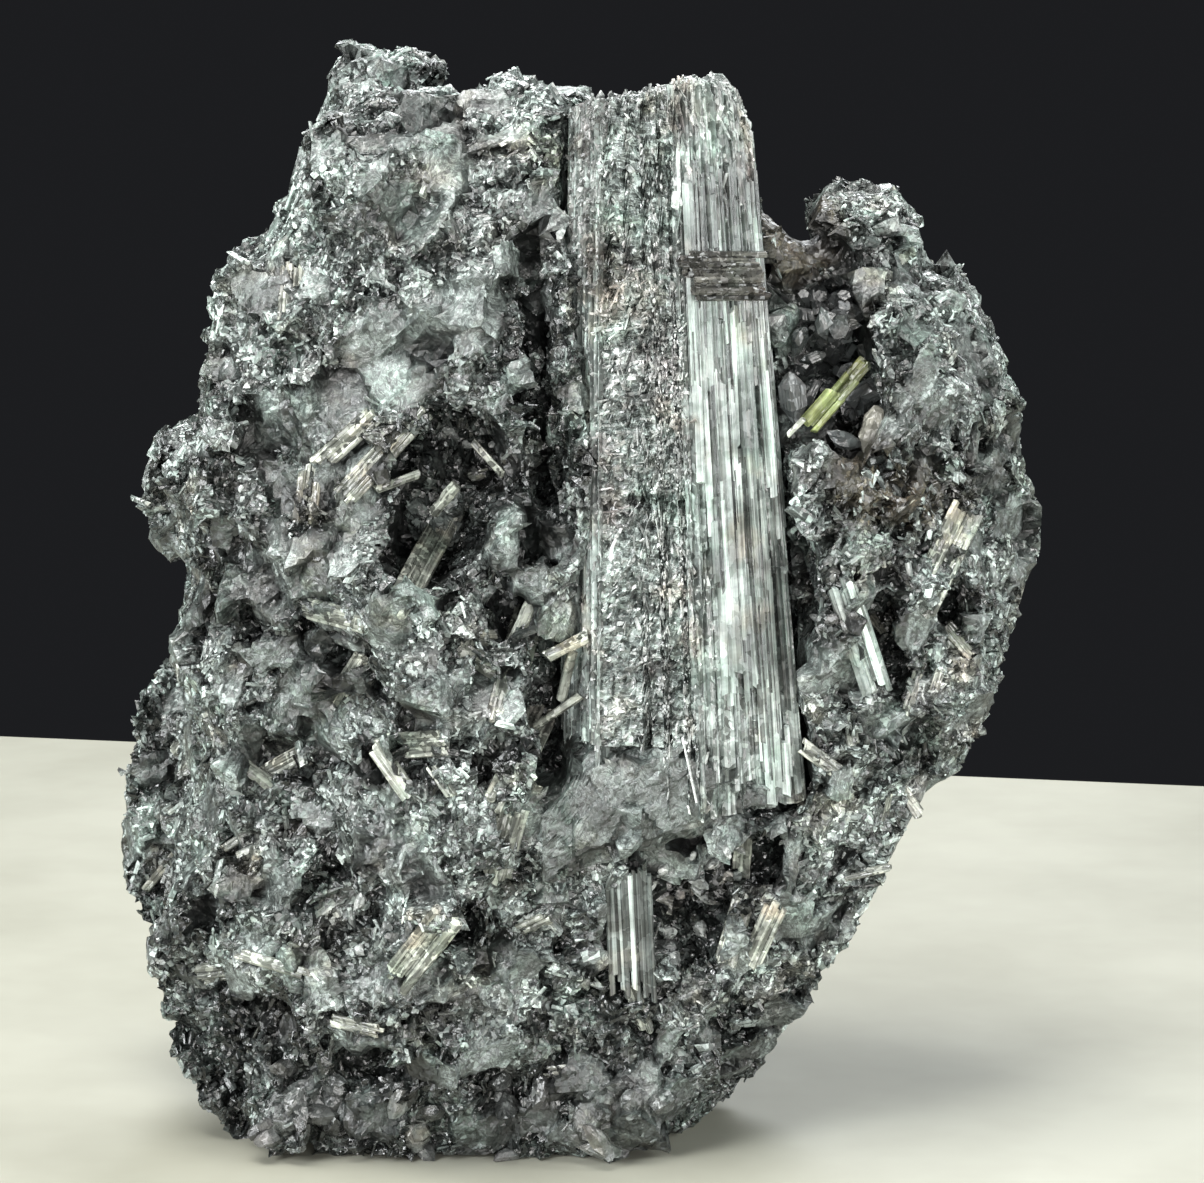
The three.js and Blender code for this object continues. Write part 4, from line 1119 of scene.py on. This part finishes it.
def prism_cap(rim, high, first):
    """The broken top: rings that close in from the rim and follow the solid, roughened."""
    tree = solid_surface("main_crystal")
    count = len(rim)
    middle = rim.mean(axis=0)
    points, faces = [], []
    row = np.arange(count)
    before = first - count + row
    for ring in range(1, TOP_RINGS):
        here = rim + (middle - rim) * (ring / TOP_RINGS)
        for place in here:
            place[2] = top_at(tree, place[0], place[1], high) or place[2]
        points.append(here)
        this = first + (ring - 1) * count + row
        faces += np.stack([before, np.roll(before, -1), np.roll(this, -1)], axis=1).tolist()
        faces += np.stack([before, np.roll(this, -1), this], axis=1).tolist()
        before = this
    points = np.concatenate(points)
    points = broken_into_flats(points, np.tile(UP, (len(points), 1)), TOP_FLATS)
    points = np.concatenate([points, [points[-count:].mean(axis=0)]])
    centre = first + len(points) - 1
    faces += np.stack([before, np.roll(before, -1), row * 0 + centre], axis=1).tolist()
    return points, faces


def make_prism():
    """The large prism: ribs with grooves between them, and a front face of small flats."""
    random = seeded(41)
    columns, ribs = prism_columns(random)
    x, y, out_x, out_y, face, rib, across, run = columns.T
    face, rib = face.astype(int), rib.astype(int)
    count = len(columns)
    out = np.stack([out_x, out_y, np.zeros(count)], axis=-1)
    low, high = (corner[2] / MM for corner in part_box("main_crystal"))
    bottom, top = prism_ends(x, y, out, low, high)
    z = bottom + (top - bottom) * np.linspace(0, 1, PRISM_ROWS)[:, None]
    points = prism_place(x + 0 * z, y + 0 * z, z)
    depth, shade = np.zeros_like(z), np.zeros_like(z)
    for r in range(ribs):
        mine = np.flatnonzero(rib == r)
        number = face[mine[0]]
        relief = rib_relief(random, PRISM_FACES[number], number, z[:, mine], across[mine], low, high)
        depth[:, mine], shade[:, mine] = relief
    points = points - out * np.maximum(depth, 0)[..., None]
    flat = points.reshape(-1, 3)
    grainy = np.tile(face == FRONT_FACE, PRISM_ROWS)
    facing = np.tile(out, (PRISM_ROWS, 1))
    for flats in FRONT_FLATS:
        flat[grainy] = broken_into_flats(flat[grainy], facing[grainy], flats)
    flat -= facing * prism_hollows(face, run, z).reshape(-1, 1)
    row = np.arange(count)
    after = np.roll(row, -1)
    strip = np.stack([row, after, count + after, count + row], axis=1)
    squares = np.concatenate([strip + k * count for k in range(PRISM_ROWS - 1)])
    cap_points, cap_faces = prism_cap(flat[-count:], high, len(flat))
    foot = len(flat) + len(cap_points)
    foot_faces = np.stack([after, row, row * 0 + foot], axis=1)
    sides = in_triangles(squares)
    all_points = np.concatenate([flat, cap_points, [flat[:count].mean(axis=0)]])
    extra = len(all_points) - len(flat)
    local = np.stack([np.tile(run + face * 11, PRISM_ROWS), np.zeros(len(flat)), flat[:, 2]], axis=1)
    make_piece(
        "large_prism", all_points, sides.tolist() + cap_faces + foot_faces.tolist(), "prism_schorl",
        "prism_schorl", ("main_crystal",), local=np.concatenate([local, all_points[len(flat):]]),
        shade=np.concatenate([shade.ravel(), np.full(extra, TOP_SHADE)]),
        calm=np.concatenate([np.where(grainy, 1.0, 0.0), np.ones(extra)]),
    )
    face_of = np.tile(face, PRISM_ROWS)[sides]
    parts = {title: sides[(face_of == k).all(axis=1)] for k, title in enumerate(("left", "front", "right"))}
    return {"points": all_points, "top": np.array(cap_faces), **parts}


def make_flakes(prism):
    """Flakes that break up the prism's front, its left side and its top."""
    random = seeded(47)
    sets, sky = [], []
    for number, spec in enumerate(FLAKES):
        places, normals, _ = sampled(prism["points"], prism[spec.part], spec.count * TRIES, 480 + number)
        low, high = spec.heights
        z = places[:, 2]
        edge = prism_place(*PRISM_FACES[RIGHT_FACE].corner, z)
        inside = (z > low) & (z < high) & (np.abs(z - SMOOTH_LEDGE) > LEDGE_BARE)
        inside &= np.linalg.norm(places - edge, axis=1) < spec.reach
        places, normals = places[inside][:spec.count], normals[inside][:spec.count]
        count = len(places)
        across = unit(np.cross(UP, normals) + 1e-6)
        ways = strayed(random, spec.way[0] * across + spec.way[1] * UP, spec.stray)
        along = laid(ways, normals, FLAKE_RISE * random.normal(size=(count, 1)))
        lengths = varied(random, spec.length, FLAKES_VARY[0], (count, 1))
        widths = varied(random, spec.width, FLAKES_VARY[1], count)
        ends = span(places - normals * widths[:, None] * FLAKE_SUNK, along, lengths)
        facing = unit(strayed(random, normals, FACING_STRAY))
        sets.append((*ends, widths, random.uniform(*FLAKE_FLATNESS, count), facing))
        sky += [SIDE_SKY if spec.part == "left" else 1.0] * count
    made = crystals(*(np.concatenate(part) for part in zip(*sets)), NEEDLE, 49)
    crystal_piece("prism_flakes", made, "grain_schorl", "prism_schorl", sky)


def make_bars():
    """The pale bars of the prism's right face, side by side, each from a height of its own."""
    random = seeded(45)
    first, face_width, way, out = face_line(RIGHT_FACE)
    widths = random.uniform(*BAR_WIDTHS, BARS)
    widths[:GAPS] = random.uniform(*GAP_WIDTHS, GAPS)
    least, most = BAR_LENGTHS
    lengths = least + (most - least) * random.random(BARS) ** BAR_SHORT
    bottom = random.uniform(BARS_HEIGHTS[0], BARS_TOP - least, BARS)
    top = np.minimum(bottom + lengths, BARS_TOP - BAR_ENDS * random.random(BARS))
    left = np.interp(bottom, BARS_HEIGHTS, BARS_FREE_LEFT)
    right = np.maximum(*(np.interp(height, BARS_HEIGHTS, BARS_FREE_RIGHT) for height in (bottom, top)))
    place = left + widths / 2 + (face_width - left - right - widths) * random.random(BARS)
    proud = random.uniform(*BAR_PROUD, BARS) - BAR_SUNK * widths
    proud[:GAPS] = GAP_PROUD
    slant = BAR_SLANT * random.normal(size=BARS)
    ends = []
    for height, side in ((bottom, -1), (top, 1)):
        at = first + way * (place + side * slant * (top - bottom) / 2)[:, None] + out * proud[:, None]
        ends.append(prism_place(at[:, 0], at[:, 1], height))
    points, triangles, _, local = crystals(*ends, widths, BAR_FLATNESS, (*out, 0.0), BAR, 46)
    dulled = np.interp((bottom + top) / 2, PALE_HEIGHTS, PALE_SHARES)
    chosen = random.random(BARS) < PALE_BARS
    pale = np.where(chosen, random.uniform(*PALE_BAR, BARS), random.uniform(*DARK_BAR, BARS))
    pale[:GAPS] = 0.0
    shade = np.repeat(pale * dulled, BAR.sides * BAR.rings)
    crystal_piece("prism_bars", (points, triangles, shade, local), "pale_schorl", "prism_schorl")


def bundle(start, end, width, facing, count, random):
    """Slender prisms side by side: starts, ends, widths, flatness and facing."""
    start, end, facing = np.array(start), np.array(end), np.array(facing)
    along = unit(end - start)
    side = unit(np.cross(facing, along))
    side = side if side[0] >= 0 else -side
    length = np.linalg.norm(end - start)
    places = (np.arange(count) - (count - 1) / 2) / count
    thin = width / count * SLENDER_WIDE
    out_of_line = facing * (random.normal(size=(count, 1)) * thin * SLENDER_SHIFT)
    shift = side * (places * width)[:, None] + out_of_line
    slip = along * (random.normal(size=(count, 1)) * length * SLENDER_SLIP)
    drawn = along * (random.random((count, 1)) * length * SLENDER_DRAWN)
    starts = start + shift + slip + drawn
    ends = end + shift + slip * SLENDER_END_SLIP - drawn * random.random((count, 1))
    widths = thin * random.uniform(*SLENDER_WIDTHS, count)
    return starts, ends, widths, np.full(count, SLENDER_FLATNESS), np.tile(facing, (count, 1))


def bundles_piece(name, sets, finish, slot, seed, stands_for=(), pale=1.0, steady=0.0):
    """One piece of several bundles. pale is how pale each slender prism can be, and steady how much of
    that doesn't change at random."""
    parts = [np.concatenate(part) for part in zip(*sets)]
    points, triangles, shade, local = crystals(*parts, SLENDER, seed)
    shade = (steady + (1 - steady) * shade) * np.repeat(pale, len(points) // np.size(pale))
    crystal_piece(name, (points, triangles, shade, local), finish, slot, stands_for=stands_for)


def make_front_crystals(mass):
    """The crystals that can be told apart on the front, each a bundle of slender prisms."""
    random = seeded(51)
    sets, pale = [], []
    for x_a, z_a, x_b, z_b, width, proud, count, tone in FRONT_CRYSTALS:
        ends = []
        for x, z in ((x_a + MIDDLE_LINE[0], z_a), (x_b + MIDDLE_LINE[0], z_b)):
            ends.append((x, front_at(mass["tree"], x, z) + FRONT_IN * width - FRONT_OUT * proud, z))
        sets.append(bundle(*ends, width, FORWARD, count, random))
        pale += [FRONT_TONE * tone] * count
    for start, end, width in NEEDLES:
        sets.append(bundle(start + MIDDLE_LINE, end + MIDDLE_LINE, width, FORWARD, 1, random))
        pale.append(NEEDLE_TONE)
    bundles_piece("front_crystals", sets, "blade_schorl", "prism_schorl", 52, pale=pale)


def make_blades(mass):
    """Bundles at random over the front, thickest about one height."""
    random = seeded(55)
    places, normals, vertex = sampled(mass["points"], mass["triangles"], BLADE_PLACES, 56)
    crowd = np.exp(-(((places[:, 2] - BLADE_HEIGHT) / BLADE_SPREAD) ** 2))
    keep = (normals[:, 1] < -BLADE_FACING) & (random.random(len(places)) < crowd)
    keep &= (mass["calm"][vertex] < MOST_CALM) & (places[:, 2] > BLADE_LOWEST)
    chosen = np.flatnonzero(keep)
    chosen = chosen[from_prism(places[chosen]) > BLADE_CLEARANCE]
    sets, pale = [], []
    for k in chosen[:BLADES]:
        length, width = random.uniform(*BLADE_LENGTHS), random.uniform(*BLADE_WIDTHS)
        along = laid(random.normal(size=3), normals[k], BLADE_RISE * random.normal())
        count = int(random.integers(*BLADE_COUNTS))
        ends = span(places[k] - normals[k] * BLADE_SUNK * width, along, length)
        sets.append(bundle(*ends, width, normals[k], count, random))
        pale += [random.uniform(*BLADE_TONES)] * count
    bundles_piece("blades", sets, "blade_schorl", "prism_schorl", 57, pale=pale)


def make_foot():
    """The smooth slab that the prism's front stands on, with its slanting lower edge."""
    trees = solid_surface("schorl_mass"), solid_surface("main_crystal")
    across, up = np.meshgrid(*(np.linspace(0, 1, steps) for steps in FOOT_STEPS))
    x = FOOT_X[0] + (FOOT_X[1] - FOOT_X[0]) * across
    low, high, proud = (np.interp(across, FOOT_AT, line) for line in (FOOT_LOW, FOOT_HIGH, FOOT_PROUD))
    low_wave, high_wave = (height * np.sin(x * rate) for height, rate in FOOT_RIPPLES)
    z = low + (high - low) * up + low_wave * (1 - up) + high_wave * up
    x = x + MIDDLE_LINE[0]
    y = np.array([min(front_at(tree, *place) for tree in trees) for place in zip(x.ravel(), z.ravel())])
    y = y.reshape(x.shape)
    for _ in range(FOOT_SMOOTHING):
        framed = np.pad(y, 1, mode="edge")
        y = (framed[:-2, 1:-1] + framed[2:, 1:-1] + framed[1:-1, :-2] + framed[1:-1, 2:] + y) / 5
    beside, below, above = FOOT_ROUNDING
    edge = np.minimum(np.minimum(across, 1 - across) * beside, np.minimum(up * below, (1 - up) * above))
    front = y - proud * np.sqrt(np.clip(edge, 0, 1))
    sheets = [np.stack([x, deep, z], axis=-1).reshape(-1, 3) for deep in (front, y + FOOT_THICKNESS)]
    for flats in FOOT_FLATS:
        sheets[0] = broken_into_flats(sheets[0], np.tile(FORWARD, (x.size, 1)), flats)
    wide, tall = FOOT_STEPS
    at = np.arange(wide * tall).reshape(tall, wide)
    squares = np.stack([at[:-1, :-1], at[:-1, 1:], at[1:, 1:], at[1:, :-1]], axis=-1).reshape(-1, 4)
    rim = np.concatenate([at[0], at[1:, -1], at[-1, -2::-1], at[-2:0:-1, 0]])
    after = np.roll(rim, -1)
    back = wide * tall
    sides = np.stack([rim, rim + back, after + back, after], axis=1)
    faces = squares.tolist() + (squares[:, ::-1] + back).tolist() + sides.tolist()
    points = kept_in_box(np.concatenate(sheets), solid_box, 0.01)
    calm = np.full(len(points), 1.0)
    shares = {"calm": calm, "brown": 0 * calm, "sky": FOOT_SKY * calm}
    make_piece("smooth_foot", points, faces, "grainy_schorl", "grainy_schorl", **shares)


def ends_of(name):
    """The two ends and the width of a node that is one crystal."""
    points = solid(name)[0]
    middle = points.mean(axis=0)
    ways = np.linalg.svd(points - middle)[2]
    along = ways[0] if ways[0][2] > 0 else -ways[0]
    share = (points - middle) @ along
    width = np.ptp((points - middle) @ ways[1])
    return middle + along * share.min(), middle + along * share.max(), width


def make_single_crystals():
    """The crystals that stand apart from the mass."""
    random = seeded(61)
    cross = []
    for start, end, width in CROSS:
        ends = start + MIDDLE_LINE, end + MIDDLE_LINE
        cross.append(bundle(*ends, width, CROSS_FACING, CROSS_COUNT, random))
    bundles_piece("cross_prisms", cross, "brown_schorl", "prism_schorl", 62, ("cross_crystal",))
    lower = [bundle(*ends_of("lower_crystal"), FORWARD, len(LOWER_TONES), random)]
    stands_for = ("lower_crystal",)
    bundles_piece("lower_prism", lower, "pale_schorl", "prism_schorl", 63, stands_for, LOWER_TONES)
    right = [bundle(*ends_of("right_crystal"), FORWARD, RIGHT_COUNT, random)]
    bundles_piece("right_prism", right, "prism_schorl", "prism_schorl", 64, ("right_crystal",))
    start, end, width = ends_of("green_crystal")
    green, tones = [], []
    for low, high, wide, bright in GREEN_PARTS:
        ends = start + (end - start) * low, start + (end - start) * high
        green.append(bundle(*ends, width * wide, FORWARD, len(GREEN_TONES), random))
        tones += [bright * tone for tone in GREEN_TONES]
    stands_for = ("green_crystal",)
    bundles_piece("green_prism", green, "green_schorl", "green_schorl", 65, stands_for, tones, GREEN_STEADY)


def make_hollow_grains():
    """The round grains in the right hollow."""
    for kind, finish in (("tan", "tan_grain"), ("grey", "grey_grains"), ("pale", "pale_schorl")):
        middles, widths, lengths, ways = (np.array(part, float) for part in zip(*HOLLOW_GRAINS[kind]))
        ends = span(middles + MIDDLE_LINE, unit(ways), lengths[:, None])
        made = crystals(*ends, widths, GRAIN_FLATNESS, FORWARD, ROUND_GRAIN, 80)
        crystal_piece(kind + "_grains", made, finish, "grey_grains", HOLLOW_SKY)


def make_loose_grains(mass):
    """Stout dark grains that crowd together in some places of the front."""
    random = seeded(85)
    places, normals, _ = sampled(mass["points"], mass["triangles"], LOOSE_PLACES, 86)
    front = np.flatnonzero(normals[:, 1] < -LOOSE_FACING)
    sets, sky = [], []
    for x, z, radius, count, size, open_here in LOOSE_GRAINS:
        away = np.hypot(places[front, 0] - MIDDLE_LINE[0] - x, places[front, 2] - z)
        for k in front[away < radius][:count]:
            along = unit(random.normal(size=3) + LOOSE_OUTWARD * normals[k])
            length = size * random.uniform(*LOOSE_LENGTHS)
            ends = span(places[k] + normals[k] * LOOSE_PROUD * size, along, length)
            sets.append((*ends, size * random.uniform(*LOOSE_WIDTHS), LOOSE_FLATNESS, normals[k]))
            sky.append(open_here)
    made = crystals(*(np.array(part) for part in zip(*sets)), LOOSE_GRAIN, 87)
    crystal_piece("loose_grains", made, "grain_schorl", "grainy_schorl", sky, rim=0.02)


def make_crust(name, piece, count, length, width, finish, slot, seed):
    """Well-formed grains over a hollow's crust."""
    random = seeded(seed)
    places, normals, _ = sampled(*solid(name), count, seed + 1)
    along = unit(strayed(random, normals, CRUST_STRAY))
    lengths = varied(random, length, CRUST_VARIES[0], (count, 1))
    widths = varied(random, width, CRUST_VARIES[1], count)
    facing = unit(np.cross(along, random.normal(size=(count, 3))))
    ends = places - along * lengths * CRUST_SUNK, places + along * lengths * CRUST_PROUD
    made = crystals(*ends, widths, GRAIN_FLATNESS, facing, CRUST_GRAIN, seed + 2)
    crystal_piece(piece, made, finish, slot, CRUST_SKY, (name,))


def make_floor():
    """A pale slab under the specimen, with soft unevenness."""
    left, right = -FLOOR_HALF_WIDTH, FLOOR_HALF_WIDTH
    back_left, back_right = FLOOR_BACK
    corners = [(left, FLOOR_FRONT, 0), (right, FLOOR_FRONT, 0), (right, back_right, 0), (left, back_left, 0)]
    mesh = bpy.data.meshes.new("floor")
    mesh.from_pydata(np.array(corners) * MM, [], [(0, 1, 2, 3)])
    w, sockets, material = new_material("pale_floor", FLOOR_IOR)
    unevenness = w.noise(w.place(), 0.05, 4.0, 0.6)
    w.feed(sockets["Base Color"], w.mixed(w.ramp(unevenness, 0.35, 0.65), *FLOOR_COLOURS))
    sockets["Roughness"].default_value = FLOOR_ROUGHNESS
    mesh.materials.append(material)
    floor = bpy.data.objects.new("floor", mesh)
    bpy.context.scene.collection.objects.link(floor)


def turned_towards(made, way):
    made.rotation_mode = "QUATERNION"
    made.rotation_quaternion = way.to_track_quat("-Z", "Y")
    bpy.context.scene.collection.objects.link(made)


def make_lights():
    for name, (place, facing, width, height, power, colour) in LIGHTS.items():
        data = bpy.data.lights.new(name, "AREA")
        data.shape = "RECTANGLE"
        data.size, data.size_y = width * MM, height * MM
        data.energy = power
        data.color = colour
        lamp = bpy.data.objects.new(name, data)
        lamp.location = Vector(place) * MM
        turned_towards(lamp, Vector(np.array(facing) - place))
    world = bpy.data.worlds.new("room")
    world.use_nodes = True
    world.node_tree.nodes["Background"].inputs["Color"].default_value = (*ROOM_LIGHT, 1)
    bpy.context.scene.world = world


def make_camera():
    data = bpy.data.cameras.new("camera")
    data.lens = LENS
    data.sensor_width = SENSOR_WIDTH
    camera = bpy.data.objects.new("camera", data)
    angle = math.radians(ELEVATION)
    back = Vector((0, -math.cos(angle), math.sin(angle)))
    camera.location = (Vector(MIDDLE_LINE + LOOK_AT) + back * DISTANCE) * MM
    turned_towards(camera, -back)
    bpy.context.scene.camera = camera


make_floor()
make_lights()
make_camera()
mass = make_mass()
for felt in FELT:
    make_felt_crystals(mass, felt)
make_flakes(make_prism())
make_bars()
make_front_crystals(mass)
make_blades(mass)
make_foot()
make_single_crystals()
make_hollow_grains()
make_loose_grains(mass)
for crust in CRUSTS:
    make_crust(*crust)

bpy.context.scene.view_settings.view_transform = "Standard"
